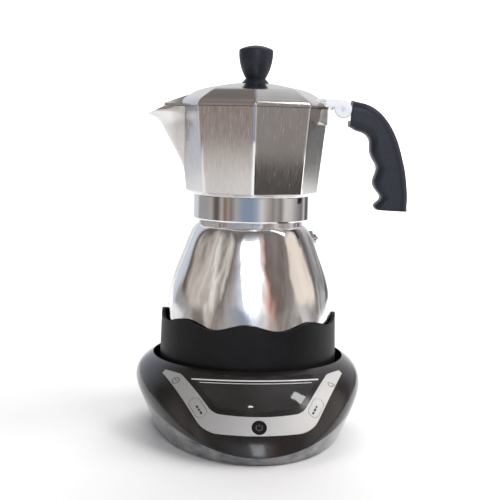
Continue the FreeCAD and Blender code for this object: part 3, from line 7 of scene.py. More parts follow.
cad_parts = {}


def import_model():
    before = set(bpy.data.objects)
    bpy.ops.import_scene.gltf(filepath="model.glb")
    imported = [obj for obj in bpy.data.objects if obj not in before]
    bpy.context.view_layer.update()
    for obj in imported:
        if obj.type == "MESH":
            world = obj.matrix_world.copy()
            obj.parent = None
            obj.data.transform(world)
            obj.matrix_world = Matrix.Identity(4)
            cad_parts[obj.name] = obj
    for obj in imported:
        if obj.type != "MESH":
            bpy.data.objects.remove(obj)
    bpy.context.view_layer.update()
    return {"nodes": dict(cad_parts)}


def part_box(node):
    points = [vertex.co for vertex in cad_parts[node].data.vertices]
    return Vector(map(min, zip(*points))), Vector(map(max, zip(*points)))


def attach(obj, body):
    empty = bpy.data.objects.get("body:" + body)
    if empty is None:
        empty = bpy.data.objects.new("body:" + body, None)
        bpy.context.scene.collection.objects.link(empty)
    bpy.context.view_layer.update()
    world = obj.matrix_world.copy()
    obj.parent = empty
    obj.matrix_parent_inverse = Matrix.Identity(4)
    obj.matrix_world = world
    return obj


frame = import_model()
NODES = frame["nodes"]

MM = 0.001
# The pot's vertical axis in plan, which the round parts share
plate_low, plate_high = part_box("filter_plate")
AXIS = Vector(((plate_low.x + plate_high.x) / 2, (plate_low.y + plate_high.y) / 2, 0))
BASE_TURN = math.radians(3.5)
PANEL_TILT = math.radians(50)
# Angle from the front to the middle of the boiler's nearest facet
BOILER_FACET = 10.1
# Heights in millimetres: the ledge between the collector's band and its facets, and the facets' two ends
LEDGE_LOW, LEDGE_HIGH = 162.2, 163.2
FACET_LOW, FACET_HIGH = 163, 223
# Distances in millimetres to the right of the pot's axis: where the hinge's lug and ears begin
HINGE_START, HINGE_FULL = 49.5, 51
# and to the left of it: where the facets give way to the spout
SPOUT_START, SPOUT_FULL = 53, 58
# The camera's place in metres to the left of the pot's axis, in front of it and above the floor, and its
# turn in degrees downwards and about its own axis
CAMERA_LEFT, CAMERA_FRONT, CAMERA_HEIGHT = 0.01744, 0.7136, 0.2065
CAMERA_PITCH, CAMERA_ROLL = 6.68, 1.39


# Shader helpers

class Graph:
    """Helpers that add nodes to the tree of a material or of the world."""

    def __init__(self, owner, coordinates):
        owner.use_nodes = True
        self.tree = owner.node_tree
        self.tree.nodes.clear()
        self.place = self.tree.nodes.new("ShaderNodeTexCoord").outputs[coordinates]

    def scaled(self, scale):
        """Object coordinates times cycles per millimetre on each axis."""
        mapping = self.tree.nodes.new("ShaderNodeMapping")
        mapping.vector_type = "POINT"
        self.tree.links.new(self.place, mapping.inputs["Vector"])
        mapping.inputs["Scale"].default_value = [1000 * value for value in scale]
        return mapping.outputs["Vector"]

    def noise(self, scale, detail=3.0, roughness=0.5):
        if not isinstance(scale, tuple):
            scale = (scale,) * 3
        node = self.tree.nodes.new("ShaderNodeTexNoise")
        self.tree.links.new(self.scaled(scale), node.inputs["Vector"])
        node.inputs["Scale"].default_value = 1.0
        node.inputs["Detail"].default_value = detail
        node.inputs["Roughness"].default_value = roughness
        return node.outputs["Fac"]

    def cells(self, scale):
        node = self.tree.nodes.new("ShaderNodeTexVoronoi")
        self.tree.links.new(self.scaled((scale,) * 3), node.inputs["Vector"])
        node.inputs["Scale"].default_value = 1.0
        return node.outputs["Distance"]

    def parts(self):
        """The coordinates' three numbers."""
        split = self.tree.nodes.new("ShaderNodeSeparateXYZ")
        self.tree.links.new(self.place, split.inputs["Vector"])
        return split.outputs["X"], split.outputs["Y"], split.outputs["Z"]

    def height_share(self, start, end):
        """0 below start and 1 above end, in millimetres of height."""
        return self.range(self.parts()[2], start * MM, end * MM, 0.0, 1.0)

    def hinge_share(self):
        """1 on the hinge's cast lug and ears, outside the round of the pot, and 0 elsewhere."""
        return self.range(self.parts()[0], AXIS.x + HINGE_START * MM, AXIS.x + HINGE_FULL * MM, 0.0, 1.0)

    def azimuth(self, middle=(0, 0)):
        """Angle round the vertical through a point, in radians: 0 in front, more to the right."""
        across, along, _ = self.parts()
        to_right = self.math("SUBTRACT", across, middle[0])
        to_front = self.math("SUBTRACT", middle[1], along)
        return self.math("ARCTAN2", to_right, to_front)

    def range(self, value, low, high, to_low, to_high):
        node = self.tree.nodes.new("ShaderNodeMapRange")
        self.tree.links.new(value, node.inputs["Value"])
        for name, number in (("From Min", low), ("From Max", high), ("To Min", to_low), ("To Max", to_high)):
            node.inputs[name].default_value = number
        return node.outputs["Result"]

    def ramp(self, value, stops):
        node = self.tree.nodes.new("ShaderNodeValToRGB")
        self.tree.links.new(value, node.inputs["Fac"])
        elements = node.color_ramp.elements
        while len(elements) < len(stops):
            elements.new(0.5)
        for element, (position, colour) in zip(elements, stops):
            element.position = position
            element.color = tuple(colour) + (1.0,)
        return node.outputs["Color"]

    def math(self, operation, first, second):
        node = self.tree.nodes.new("ShaderNodeMath")
        node.operation = operation
        for socket, value in zip(node.inputs, (first, second)):
            if isinstance(value, (int, float)):
                socket.default_value = value
            else:
                self.tree.links.new(value, socket)
        return node.outputs["Value"]

    def mix(self, share, first, second):
        """Plain mix of two numbers by a share from 0 to 1."""
        one = self.math("MULTIPLY", self.math("SUBTRACT", 1.0, share), first)
        return self.math("ADD", one, self.math("MULTIPLY", share, second))

    def blend(self, share, first, second):
        """Mix of two colours by a share from 0 to 1."""
        node = self.tree.nodes.new("ShaderNodeMix")
        node.data_type = "RGBA"
        for name, colour in (("Factor", share), ("A", first), ("B", second)):
            self.tree.links.new(colour, node.inputs[name])
        return node.outputs["Result"]

    def bump(self, height, depth, below=None):
        """A height output as relief, depth in millimetres, over the relief that is below it."""
        node = self.tree.nodes.new("ShaderNodeBump")
        node.inputs["Distance"].default_value = depth * MM
        self.tree.links.new(height, node.inputs["Height"])
        if below is not None:
            self.tree.links.new(below, node.inputs["Normal"])
        return node.outputs["Normal"]


class Look(Graph):
    """One node-based material, with lengths in millimetres of the part itself."""

    def __init__(self, name):
        self.material = bpy.data.materials.new(name)
        super().__init__(self.material, "Object")
        output = self.tree.nodes.new("ShaderNodeOutputMaterial")
        self.shader = self.tree.nodes.new("ShaderNodeBsdfPrincipled")
        self.tree.links.new(self.shader.outputs["BSDF"], output.inputs["Surface"])

    def set(self, **values):
        for name, value in values.items():
            self.shader.inputs[name.replace("_", " ")].default_value = value
        return self

    def link(self, output, name):
        self.tree.links.new(output, self.shader.inputs[name])
        return self


def brushed(name, pale, dark, rough_low, rough_high, grain, depth):
    """Metal with a fine grain; grain is cycles per millimetre on each axis."""
    look = Look(name)
    fine = look.noise(grain, 4, 0.6)
    broad = look.noise(0.02, 2)
    tone = look.math("ADD", look.math("MULTIPLY", fine, 0.6), look.math("MULTIPLY", broad, 0.4))
    look.link(look.ramp(tone, [(0.3, dark), (0.7, pale)]), "Base Color")
    look.link(look.range(fine, 0.3, 0.7, rough_low, rough_high), "Roughness")
    look.link(look.bump(fine, depth), "Normal")
    look.set(Metallic=1.0)
    return look.material


def collector_metal():
    """Vertical satin grain on the facets, polished on their creases, the spout and the round band below."""
    look = Look("collector_aluminium")
    facets = look.height_share(LEDGE_LOW, LEDGE_HIGH)
    crease = look.range(look.math("COSINE", look.math("MULTIPLY", look.azimuth(AXIS), 8), 0), 0.95, 0.99, 0.0, 1.0)
    grain = look.noise((1.3, 1.3, 0.035), 5, 0.7)
    cloud = look.noise(0.03, 3)
    tone = look.math("ADD", look.math("MULTIPLY", grain, 0.75), look.math("MULTIPLY", cloud, 0.25))
    satin_tone = look.ramp(tone, [(0.3, (0.54, 0.525, 0.51)), (0.7, (0.80, 0.79, 0.78))])
    polished_tone = look.ramp(cloud, [(0.3, (0.80, 0.795, 0.79)), (0.7, (0.88, 0.88, 0.88))])
    before_spout = look.range(look.parts()[0], AXIS.x - SPOUT_FULL * MM, AXIS.x - SPOUT_START * MM, 0.2, 1.0)
    flat_share = look.math("MULTIPLY", facets, before_spout)
    satin_share = look.math("MULTIPLY", flat_share, look.math("SUBTRACT", 1.0, crease))
    hinge = look.hinge_share()
    lug_tone = look.ramp(cloud, [(0.3, (0.50, 0.48, 0.48)), (0.7, (0.60, 0.585, 0.59))])
    look.link(look.blend(hinge, look.blend(satin_share, polished_tone, satin_tone), lug_tone), "Base Color")
    satin = look.range(grain, 0.3, 0.7, 0.19, 0.28)
    polished = look.range(cloud, 0.3, 0.7, 0.03, 0.07)
    look.link(look.mix(hinge, look.mix(satin_share, polished, satin), 0.34), "Roughness")
    bend = look.range(look.parts()[2], FACET_LOW * MM, FACET_HIGH * MM, -1.8, 1.8)
    bow = look.bump(look.math("COSINE", bend, 0), 1.0)
    look.link(look.bump(look.math("MULTIPLY", grain, facets), 0.03, bow), "Normal")
    look.set(Metallic=1.0)
    return look.material


def boiler_metal():
    """Polished casting whose eight facets are slightly crowned."""
    look = Look("polished_aluminium")
    cloud = look.noise(0.035, 2)
    pits = look.noise(1.1, 4, 0.75)
    look.link(look.ramp(cloud, [(0.3, (0.76, 0.75, 0.74)), (0.7, (0.86, 0.855, 0.85))]), "Base Color")
    look.link(look.range(pits, 0.3, 0.75, 0.07, 0.2), "Roughness")
    from_facet = look.math("SUBTRACT", look.azimuth(AXIS), math.radians(BOILER_FACET))
    crown = look.bump(look.math("COSINE", look.math("MULTIPLY", from_facet, 8), 0), 0.9)
    waves = look.bump(look.noise((0.06, 0.06, 0.02), 2), 1.0, crown)
    look.link(look.bump(pits, 0.012, waves), "Normal")
    look.set(Metallic=1.0)
    return look.material


def lid_metal():
    look = Look("lid_aluminium")
    grain = look.noise((1.5, 1.5, 1.5), 4, 0.7)
    cloud = look.noise(0.04, 2)
    hinge = look.hinge_share()
    dome_tone = look.ramp(cloud, [(0.3, (0.64, 0.625, 0.61)), (0.7, (0.76, 0.75, 0.74))])
    ear_tone = look.ramp(cloud, [(0.3, (0.62, 0.595, 0.585)), (0.7, (0.70, 0.675, 0.665))])
    look.link(look.blend(hinge, dome_tone, ear_tone), "Base Color")
    dome_rough = look.range(grain, 0.3, 0.7, 0.11, 0.21)
    look.link(look.mix(hinge, dome_rough, 0.3), "Roughness")
    look.link(look.bump(grain, 0.01), "Normal")
    look.set(Metallic=1.0)
    return look.material


def moulded(name, colour, rough_low, rough_high, texture, depth, coat=0.0, gloss=0.5):
    """Moulded plastic; texture is cycles per millimetre."""
    look = Look(name)
    fine = look.noise(texture, 3, 0.6)
    cloud = look.noise(0.05, 2)
    pale = tuple(min(1.0, value * 1.35 + 0.002) for value in colour)
    look.link(look.ramp(cloud, [(0.3, colour), (0.7, pale)]), "Base Color")
    look.link(look.range(fine, 0.3, 0.7, rough_low, rough_high), "Roughness")
    look.link(look.bump(fine, depth), "Normal")
    look.set(Coat_Weight=coat, Coat_Roughness=0.1, Specular_IOR_Level=gloss)
    return look.material


def strip_metal():
    """Satin silver foil, with painted light: paler towards the right arm, which the light falls on, and painted
    shade on the left arm.
    """
    look = Look("strip_metal")
    grain = look.noise((0.15, 4.0, 4.0), 3, 0.6)
    # Painted shade on the left arm and painted light on the right arm, where the light falls
    painted_shade_tone = look.ramp(grain, [(0.3, (0.43, 0.425, 0.42)), (0.7, (0.48, 0.475, 0.47))])
    painted_light_tone = look.ramp(grain, [(0.3, (0.66, 0.65, 0.64)), (0.7, (0.73, 0.72, 0.71))])
    to_right = look.range(look.parts()[0], AXIS.x - 45 * MM, AXIS.x + 55 * MM, 0.0, 1.0)
    look.link(look.blend(to_right, painted_shade_tone, painted_light_tone), "Base Color")
    look.link(look.range(grain, 0.3, 0.7, 0.42, 0.55), "Roughness")
    look.link(look.bump(grain, 0.006), "Normal")
    look.set(Metallic=0.45)
    return look.material


def sparkle_plastic():
    """Black handle plastic with the fine glitter of its spark-eroded mould."""
    look = Look("handle_plastic")
    fine = look.noise(2.2, 2, 0.6)
    specks = look.cells(1.4)
    tone = look.math("SUBTRACT", 1.0, look.math("MULTIPLY", specks, 1.6))
    look.link(look.ramp(tone, [(0.55, (0.014, 0.018, 0.027)), (0.95, (0.055, 0.066, 0.09))]), "Base Color")
    look.link(look.range(fine, 0.3, 0.7, 0.3, 0.45), "Roughness")
    look.link(look.bump(fine, 0.07), "Normal")
    look.set(Specular_IOR_Level=0.35)
    return look.material


def mottled_plastic():
    """Silver-grey plastic of the lower housing, clouded along its length under a clear coat."""
    look = Look("base_grey")
    cloud = look.noise((0.05, 0.05, 0.11), 4, 0.65)
    fine = look.noise(0.6, 3)
    look.link(look.ramp(cloud, [(0.35, (0.07, 0.07, 0.073)), (0.68, (0.27, 0.27, 0.275))]), "Base Color")
    look.link(look.range(fine, 0.3, 0.7, 0.16, 0.26), "Roughness")
    look.link(look.bump(cloud, 0.12), "Normal")
    look.set(Coat_Weight=0.45, Coat_Roughness=0.22)
    return look.material


def smoked_window():
    look = Look("smoked_window")
    cloud = look.noise(0.05, 2)
    look.link(look.ramp(cloud, [(0.3, (0.11, 0.105, 0.10)), (0.7, (0.14, 0.135, 0.13))]), "Base Color")
    look.link(look.range(look.noise(0.6, 2), 0.3, 0.7, 0.02, 0.04), "Roughness")
    look.set(Transmission_Weight=0.85, IOR=1.49, Coat_Weight=0.5, Coat_Roughness=0.03)
    return look.material


def display_face():
    """Grey liquid-crystal glass with faint row lines; nothing is lit."""
    look = Look("display_face")
    rows = look.noise((0.02, 1.2, 1.2), 1)
    look.link(look.ramp(rows, [(0.35, (0.16, 0.17, 0.15)), (0.65, (0.24, 0.25, 0.22))]), "Base Color")
    look.link(look.range(rows, 0.3, 0.7, 0.15, 0.25), "Roughness")
    return look.material


def board():
    look = Look("circuit_board")
    tracks = look.cells(0.35)
    look.link(look.ramp(tracks, [(0.2, (0.02, 0.10, 0.04)), (0.5, (0.03, 0.17, 0.07))]), "Base Color")
    look.link(look.range(tracks, 0.2, 0.5, 0.3, 0.45), "Roughness")
    look.link(look.bump(tracks, 0.03), "Normal")
    return look.material


MATERIALS = {
    "collector": collector_metal(),
    "boiler": boiler_metal(),
    "lid": lid_metal(),
    "cast": brushed("cast_aluminium", (0.78, 0.77, 0.76), (0.64, 0.63, 0.62), 0.25, 0.4, (0.8, 0.8, 0.8), 0.02),
    "steel": brushed("steel", (0.66, 0.66, 0.67), (0.5, 0.5, 0.51), 0.2, 0.35, (3.0, 3.0, 0.5), 0.01),
    "brass": brushed("brass", (0.82, 0.66, 0.34), (0.66, 0.5, 0.24), 0.2, 0.35, (2.0, 2.0, 2.0), 0.01),
    "strip": strip_metal(),
    "base_dark": moulded("base_dark", (0.012, 0.0105, 0.010), 0.14, 0.24, 0.4, 0.004, 0.2, 0.4),
    "base_grey": mottled_plastic(),
    "black": moulded("black_plastic", (0.006, 0.006, 0.007), 0.45, 0.6, 3.0, 0.02, gloss=0.12),
    "skirt": moulded("skirt_plastic", (0.006, 0.006, 0.007), 0.4, 0.55, 2.5, 0.02, gloss=0.15),
    "handle": sparkle_plastic(),
    "rubber": moulded("rubber", (0.016, 0.016, 0.016), 0.7, 0.85, 1.5, 0.03),
    "seal": moulded("seal_rubber", (0.66, 0.65, 0.61), 0.5, 0.65, 1.0, 0.02),
    "component": moulded("component_plastic", (0.03, 0.03, 0.032), 0.4, 0.6, 1.0, 0.02),
    "window": smoked_window(),
    "display": display_face(),
    "board": board(),
    "print": moulded("printed_mark", (0.02, 0.02, 0.02), 0.5, 0.6, 2.0, 0.002),
    # Pale colour of the ridges along the window's top edge: a painted highlight on the dark plastic
    "painted_highlight": moulded("painted_window_highlight", (0.62, 0.61, 0.60), 0.15, 0.25, 0.5, 0.004, 1.0),
    "symbol": moulded("symbol_print", (0.10, 0.10, 0.105), 0.4, 0.5, 2.0, 0.002),
}

NODE_LOOKS = {
    "base_top_shell": "base_dark", "base_lower_shell": "base_grey", "rubber_feet": "rubber",
    "base_screws": "steel", "base_connector": "black", "connector_contacts": "brass",
    "connector_screws": "steel", "display_window": "window", "lcd_module": "display",
    "control_board": "board", "tact_switches": "steel", "power_board": "board",
    "power_components": "component", "control_strip": "strip", "power_button": "black",
    "timer_key": "strip", "mode_key": "strip", "cord_gland": "rubber", "connector_seal": "rubber",
    "boiler": "boiler", "skirt": "skirt", "heater_element": "steel", "thermostat": "steel",
    "thermal_fuse": "steel", "pot_base_cover": "skirt", "pot_connector": "black",
    "pot_contacts": "brass", "pot_screws": "steel", "safety_valve_body": "steel",
    "valve_pin": "brass", "funnel": "cast", "gasket": "seal", "filter_plate": "cast",
    "collector": "collector", "handle": "handle", "handle_screw": "steel", "hinge_pin": "steel",
    "lid": "lid", "knob": "handle", "knob_screw": "steel",
}

for name, look in NODE_LOOKS.items():
    slots = NODES[name].data.materials
    slots.clear()
    slots.append(MATERIALS[look])


# Printed marks: plain lines laid just over a surface

TURN = Matrix.Translation(AXIS) @ Matrix.Rotation(BASE_TURN, 4, "Z")
# Middle of the power button, and the panel's directions: to the right, up the slope and outwards
PANEL_FOOT = Vector((0, -98.6 * MM, 22.7 * MM))
PANEL = TURN @ Matrix.Translation(PANEL_FOOT) @ Matrix.Rotation(PANEL_TILT, 4, "X")


def on_surface(node, u, v, lift):
    """Point over a CAD node along the panel's normal, from the panel's u and v in millimetres."""
    start = PANEL @ Vector((u * MM, v * MM, 30 * MM))
    direction = (PANEL.to_3x3() @ Vector((0, 0, -1))).normalized()
    hit, place, normal, _ = NODES[node].ray_cast(start, direction)
    if not hit:
        raise ValueError("no surface under the mark at %s, %s" % (u, v))
    return place + normal * (lift * MM)


def printed_line(name, nodes, points, width, body, look, closed=False):
    """A line of ink as a thin ribbon that follows the surface under it."""
    mesh = bpy.data.meshes.new(name)
    build = bmesh.new()
    count = len(points)
    rows = []
    for index, (u, v) in enumerate(points):
        before = points[index - 1] if index or closed else points[0]
        after = points[(index + 1) % count] if index < count - 1 or closed else points[-1]
        direction = Vector((after[0] - before[0], after[1] - before[1])).normalized()
        side = Vector((-direction.y, direction.x)) * width / 2
        rows.append([build.verts.new(on_surface(nodes, u + side.x * way, v + side.y * way, 0.03))
                     for way in (-1, 1)])
    last = count if closed else count - 1
    for index in range(last):
        here, following = rows[index], rows[(index + 1) % count]
        build.faces.new((here[0], following[0], following[1], here[1]))
    build.to_mesh(mesh)
    build.free()
    mesh.materials.append(MATERIALS[look])
    mark = bpy.data.objects.new(name, mesh)
    bpy.context.scene.collection.objects.link(mark)
    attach(mark, body)
    return mark


def arc(centre, radius, start, end, steps=24):
    """Points on an arc in u and v, from one angle to another in degrees."""
    points = []
    for index in range(steps + 1):
        angle = math.radians(start + (end - start) * index / steps)
        points.append((centre[0] + radius * math.cos(angle), centre[1] + radius * math.sin(angle)))
    return points


def power_symbol():
    printed_line("power_symbol_ring", "power_button", arc((0, 0), 2.0, 125, 415), 0.42,
                 "power_key", "symbol")
    printed_line("power_symbol_bar", "power_button", [(0, 0.5), (0, 1.4), (0, 2.3)], 0.42,
                 "power_key", "symbol")


def strokes(name, node, body, middle, slope, lengths, width=1.25, gap=0.7):
    """A row of short thick strokes, where the strip has a word; slope is its angle in degrees."""
    along = Vector((math.cos(math.radians(slope)), math.sin(math.radians(slope))))
    start = -(sum(lengths) + gap * (len(lengths) - 1)) / 2
    for index, length in enumerate(lengths):
        points = [tuple(Vector(middle) + along * (start + length * share)) for share in (0, 0.5, 1)]
        printed_line("%s_%d" % (name, index + 1), node, points, width, body, "print")
        start += length + gap


def clock_mark(middle):
    u, v = middle
    printed_line("clock_mark_ring", "control_strip", arc(middle, 2.3, 0, 345, 23), 0.5,
                 "base", "print", closed=True)
    printed_line("clock_mark_hands", "control_strip", [(u, v + 1.5), (u, v + 0.1), (u + 1.1, v - 0.4)], 0.45,
                 "base", "print")


def cup_mark(middle):
    u, v = middle
    bowl = [(u - 1.9, v + 1.3), (u - 1.6, v - 0.6), (u - 0.8, v - 1.5), (u + 0.8, v - 1.5),
            (u + 1.6, v - 0.6), (u + 1.9, v + 1.3)]
    printed_line("cup_mark_bowl", "control_strip", bowl, 0.5, "base", "print", closed=True)
    printed_line("cup_mark_ear", "control_strip", arc((u + 2.0, v + 0.2), 0.9, -80, 80, 10), 0.4,
                 "base", "print")


def bead(name, node, points, width, height, body, look):
    """A low half-round ridge that follows the surface under it."""
    mesh = bpy.data.meshes.new(name)
    build = bmesh.new()
    profile = [(math.cos(math.pi * step / 6), math.sin(math.pi * step / 6)) for step in range(7)]
    rows = []
    for index, (u, v) in enumerate(points):
        before, after = points[max(index - 1, 0)], points[min(index + 1, len(points) - 1)]
        direction = Vector((after[0] - before[0], after[1] - before[1])).normalized()
        side = Vector((-direction.y, direction.x)) * width / 2
        rows.append([build.verts.new(on_surface(node, u + side.x * way, v + side.y * way, height * rise))
                     for way, rise in profile])
    for here, following in zip(rows, rows[1:]):
        for step in range(len(profile) - 1):
            build.faces.new((here[step], here[step + 1], following[step + 1], following[step])).smooth = True
    bmesh.ops.recalc_face_normals(build, faces=build.faces)
    build.to_mesh(mesh)
    build.free()
    mesh.materials.append(MATERIALS[look])
    ridge = bpy.data.objects.new(name, mesh)
    bpy.context.scene.collection.objects.link(ridge)
    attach(ridge, body)
    return ridge


power_symbol()
clock_mark((-51.9, 41.0))
cup_mark((50.2, 37.4))
strokes("timer_word", "timer_key", "timer_pad", (-37.2, 15.2), -62.5, (2.1, 1.5, 2.4))
strokes("mode_word", "mode_key", "mode_pad", (37.0, 15.0), 62.5, (1.8, 2.4, 1.5))

# The window's top edge: half its width, and v at its ends and at its middle; a low ridge painted pale as a
# highlight lies on the housing just over it and a finer one on the window just under it
EDGE_HALF, EDGE_ENDS, EDGE_MIDDLE = 41, 38.7, 32.9


def edge_line(name, node, shift, share, width, height):
    sag = EDGE_ENDS - EDGE_MIDDLE
    radius = (EDGE_HALF ** 2 + sag ** 2) / (2 * sag)
    reach = math.degrees(math.asin(EDGE_HALF / radius)) * share
    curve = arc((0, EDGE_MIDDLE + radius), radius - shift, -90 - reach, -90 + reach, 48)
    # A real low ridge, coloured pale as a painted highlight
    bead(name, node, curve, width, height, "base", "painted_highlight")


edge_line("painted_window_highlight_upper", "base_top_shell", 0.75, 1.02, 1.1, 0.35)
edge_line("painted_window_highlight_lower", "display_window", -1.6, 0.88, 0.5, 0.2)


# Studio

def floor():
    """A round pale table top, lit most behind the pot."""
    bpy.ops.mesh.primitive_circle_add(vertices=96, radius=1.2, fill_type="NGON", location=AXIS)
    plane = bpy.context.object
    plane.name = "studio_floor"
    look = Look("floor")
    look.link(look.ramp(look.noise(0.002, 2), [(0.3, (0.86, 0.86, 0.86)), (0.7, (0.88, 0.88, 0.88))]), "Base Color")
    look.set(Roughness=0.9)
    plane.data.materials.append(look.material)


def backdrop():
    """A white wall all round that only the camera sees."""
    bpy.ops.mesh.primitive_cylinder_add(vertices=96, radius=2.6, depth=4, end_fill_type="NOTHING",
                                        location=AXIS + Vector((0, 0, 1)))
    wall = bpy.context.object
    wall.name = "studio_backdrop"
    look = Look("backdrop")
    tone = look.ramp(look.noise(0.002, 2), [(0.3, (0.99, 0.99, 0.99)), (0.7, (1.0, 1.0, 1.0))])
    look.link(tone, "Base Color")
    look.link(tone, "Emission Color")
    look.set(Emission_Strength=1.0, Roughness=0.9)
    wall.data.materials.append(look.material)
    wall.visible_diffuse = False
    wall.visible_glossy = False
    wall.visible_transmission = False
    wall.visible_shadow = False


def card(name, azimuth, near, far, colour):
    """A card that only reflections see. near and far are edges as distance from the pot's
    axis, height and width; azimuth 0 is in front and 90 to the right."""
    angle = math.radians(azimuth)
    out = Vector((math.sin(angle), -math.cos(angle), 0))
    side = Vector((math.cos(angle), math.sin(angle), 0))
    corners = []
    for (distance, height, width), ways in ((near, (-0.5, 0.5)), (far, (0.5, -0.5))):
        corners += [AXIS + out * distance + side * width * way + Vector((0, 0, height)) for way in ways]
    mesh = bpy.data.meshes.new(name)
    mesh.from_pydata(corners, [], [(0, 1, 2, 3)])
    look = Look(name)
    dark = tuple(value * 0.8 for value in colour)
    look.link(look.ramp(look.noise(0.003, 2), [(0.3, dark), (0.7, colour)]), "Base Color")
    look.set(Roughness=0.9)
    mesh.materials.append(look.material)
    sheet = bpy.data.objects.new(name, mesh)
    bpy.context.scene.collection.objects.link(sheet)
    sheet.visible_camera = False
    sheet.visible_diffuse = False
    sheet.visible_shadow = False


# The room as the metal mirrors it: degrees from the front, to the right, and colour, for its wall and for
# what is seen just over the table
WALL = [
    (-180, (0.72, 0.72, 0.75)), (-166, (0.78, 0.78, 0.81)), (-160, (0.66, 0.70, 0.78)), (-128, (0.60, 0.65, 0.74)),
    (-116, (0.40, 0.39, 0.41)), (-109, (0.10, 0.09, 0.09)), (-100, (0.16, 0.14, 0.13)), (-88, (0.52, 0.47, 0.43)),
    (-77, (0.72, 0.66, 0.61)), (-70, (0.42, 0.37, 0.34)), (-64, (0.95, 0.90, 0.86)), (-56, (0.56, 0.52, 0.49)),
    (-47, (0.16, 0.13, 0.12)), (-28, (0.46, 0.43, 0.43)), (-16, (0.66, 0.70, 0.80)), (4, (0.82, 0.88, 1.0)),
    (15, (1.1, 1.15, 1.25)), (21, (0.80, 0.76, 0.74)), (27, (0.78, 0.42, 0.35)), (34, (0.14, 0.10, 0.09)),
    (48, (0.26, 0.23, 0.22)), (61, (0.24, 0.21, 0.20)), (73, (0.84, 0.75, 0.68)), (106, (0.96, 0.85, 0.76)),
    (113, (0.66, 0.58, 0.52)), (118, (0.16, 0.14, 0.13)), (124, (0.13, 0.12, 0.12)), (136, (0.48, 0.47, 0.48)),
    (160, (0.78, 0.78, 0.80)), (166, (0.78, 0.78, 0.81)), (180, (0.72, 0.72, 0.75)),
]
HORIZON = [
    (-180, (1.0, 1.0, 1.0)), (-166, (1.0, 1.0, 1.0)), (-160, (0.66, 0.70, 0.78)), (-134, (0.62, 0.66, 0.74)),
    (-125, (0.34, 0.335, 0.34)), (-100, (0.34, 0.33, 0.33)), (-86, (0.40, 0.385, 0.37)), (-78, (0.14, 0.11, 0.10)),
    (-70, (0.12, 0.10, 0.09)), (-62, (0.45, 0.42, 0.40)), (-54, (0.20, 0.15, 0.12)), (-48, (0.38, 0.29, 0.25)),
    (-40, (0.22, 0.185, 0.175)), (-30, (0.40, 0.385, 0.38)), (-16, (0.24, 0.29, 0.38)), (0, (0.23, 0.29, 0.41)),
    (10, (0.32, 0.37, 0.46)), (20, (0.62, 0.61, 0.64)), (30, (0.46, 0.42, 0.39)), (42, (0.26, 0.24, 0.23)),
    (50, (0.36, 0.33, 0.31)), (60, (0.22, 0.20, 0.19)), (70, (0.62, 0.60, 0.58)), (83, (0.60, 0.57, 0.56)),
    (100, (0.34, 0.32, 0.31)), (116, (0.20, 0.18, 0.18)), (121, (0.24, 0.22, 0.22)), (129, (0.60, 0.60, 0.60)),
    (137, (0.11, 0.105, 0.105)), (150, (0.16, 0.16, 0.165)), (162, (1.0, 1.0, 1.0)), (180, (1.0, 1.0, 1.0)),
]


def world():
    """A room whose wall has paler and darker strips, under a dim, warm ceiling."""
    scene = bpy.context.scene
    scene.world = bpy.data.worlds.new("studio")
    room = Graph(scene.world, "Generated")
    wobble = room.math("MULTIPLY", room.noise(0.0022, 2), 0.12)
    direction = room.math("ADD", room.math("SUBTRACT", room.azimuth(), 0.06), wobble)
    turn = room.range(direction, -math.pi, math.pi, 0.0, 1.0)
    wall = room.ramp(turn, [((angle + 180) / 360, colour) for angle, colour in WALL])
    low = room.ramp(turn, [((angle + 180) / 360, colour) for angle, colour in HORIZON])
    across, along, rise = room.parts()
    sides = room.blend(room.range(rise, 0.03, 0.13, 0.0, 1.0), low, wall)
    cloud = room.noise(0.0018, 2)
    over_front = room.ramp(cloud, [(0.35, (0.10, 0.09, 0.08)), (0.65, (0.25, 0.23, 0.22))])
    back_left = room.ramp(cloud, [(0.35, (0.14, 0.125, 0.115)), (0.65, (0.31, 0.285, 0.27))])
    back_right = room.ramp(cloud, [(0.35, (0.42, 0.41, 0.42)), (0.65, (0.80, 0.79, 0.81))])
    over_back = room.blend(room.range(across, -0.1, 0.2, 0.0, 1.0), back_left, back_right)
    ceiling = room.blend(room.range(along, -0.6, 0.3, 0.0, 1.0), over_front, over_back)
    colour = room.blend(room.range(rise, 0.5, 0.74, 0.0, 1.0), sides, ceiling)
    background = room.tree.nodes.new("ShaderNodeBackground")
    output = room.tree.nodes.new("ShaderNodeOutputWorld")
    room.tree.links.new(colour, background.inputs["Color"])
    background.inputs["Strength"].default_value = 1.05
    room.tree.links.new(background.outputs["Background"], output.inputs["Surface"])
    scene.view_settings.view_transform = "Standard"


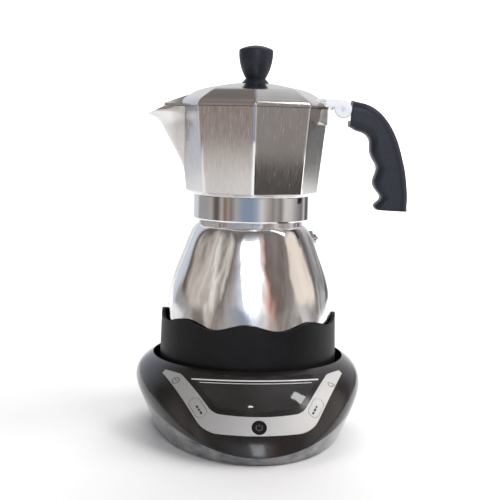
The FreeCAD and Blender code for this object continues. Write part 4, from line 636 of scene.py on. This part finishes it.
def softbox(name, place, target, width, height, power, colour=(1, 1, 1), mirrored=True):
    light = bpy.data.lights.new(name, "AREA")
    light.shape = "RECTANGLE"
    light.size = width
    light.size_y = height
    light.energy = power
    light.color = colour
    holder = bpy.data.objects.new(name, light)
    bpy.context.scene.collection.objects.link(holder)
    holder.location = place
    holder.rotation_mode = "QUATERNION"
    holder.rotation_quaternion = (Vector(target) - Vector(place)).to_track_quat("-Z", "Y")
    holder.visible_glossy = mirrored


def camera():
    lens = bpy.data.cameras.new("camera")
    lens.sensor_width = 36
    lens.lens = 73.0
    lens.clip_start = 0.05
    holder = bpy.data.objects.new("camera", lens)
    bpy.context.scene.collection.objects.link(holder)
    holder.location = AXIS + Vector((-CAMERA_LEFT, -CAMERA_FRONT, CAMERA_HEIGHT))
    heading = math.atan2(CAMERA_LEFT, CAMERA_FRONT)
    pitch = math.radians(CAMERA_PITCH)
    roll = math.radians(CAMERA_ROLL)
    forward = Vector((math.sin(heading) * math.cos(pitch), math.cos(heading) * math.cos(pitch), -math.sin(pitch)))
    holder.rotation_mode = "QUATERNION"
    holder.rotation_quaternion = forward.to_track_quat("-Z", "Y") @ Quaternion((0, 0, 1), roll)
    bpy.context.scene.camera = holder


floor()
backdrop()
world()
softbox("key", (0.9, -0.7, 1.2), (0, 0, 0.12), 0.6, 0.6, 6, mirrored=False)
softbox("window", (0.20, -1.6, 0.80), (0, 0, 0.12), 0.40, 0.9, 6, (0.9, 0.95, 1.0))
softbox("back", (0, 1.3, 1.4), (0, 0.5, 0), 1.6, 1.0, 30, mirrored=False)
softbox("side", (1.0, 0.05, 0.62), (0.04, -0.07, 0.04), 1.0, 0.45, 6, mirrored=False)
softbox("skylight", (0.72, -0.16, 1.1), (0.03, -0.08, 0.04), 0.16, 0.3, 1.0)
softbox("lamp", (0.03, -0.65, 1.6), (0, -0.08, 0.03), 0.08, 0.02, 0.12)
card("dark_mat", 50, (0.2, 0.004, 0.3), (0.8, 0.004, 0.8), (0.02, 0.018, 0.016))
card("brown_mat", 50, (0.8, 0.004, 0.8), (1.5, 0.004, 1.2), (0.30, 0.27, 0.25))
card("warm_mat", -46, (0.6, 0.004, 0.5), (1.05, 0.004, 0.75), (0.78, 0.72, 0.67))
camera()
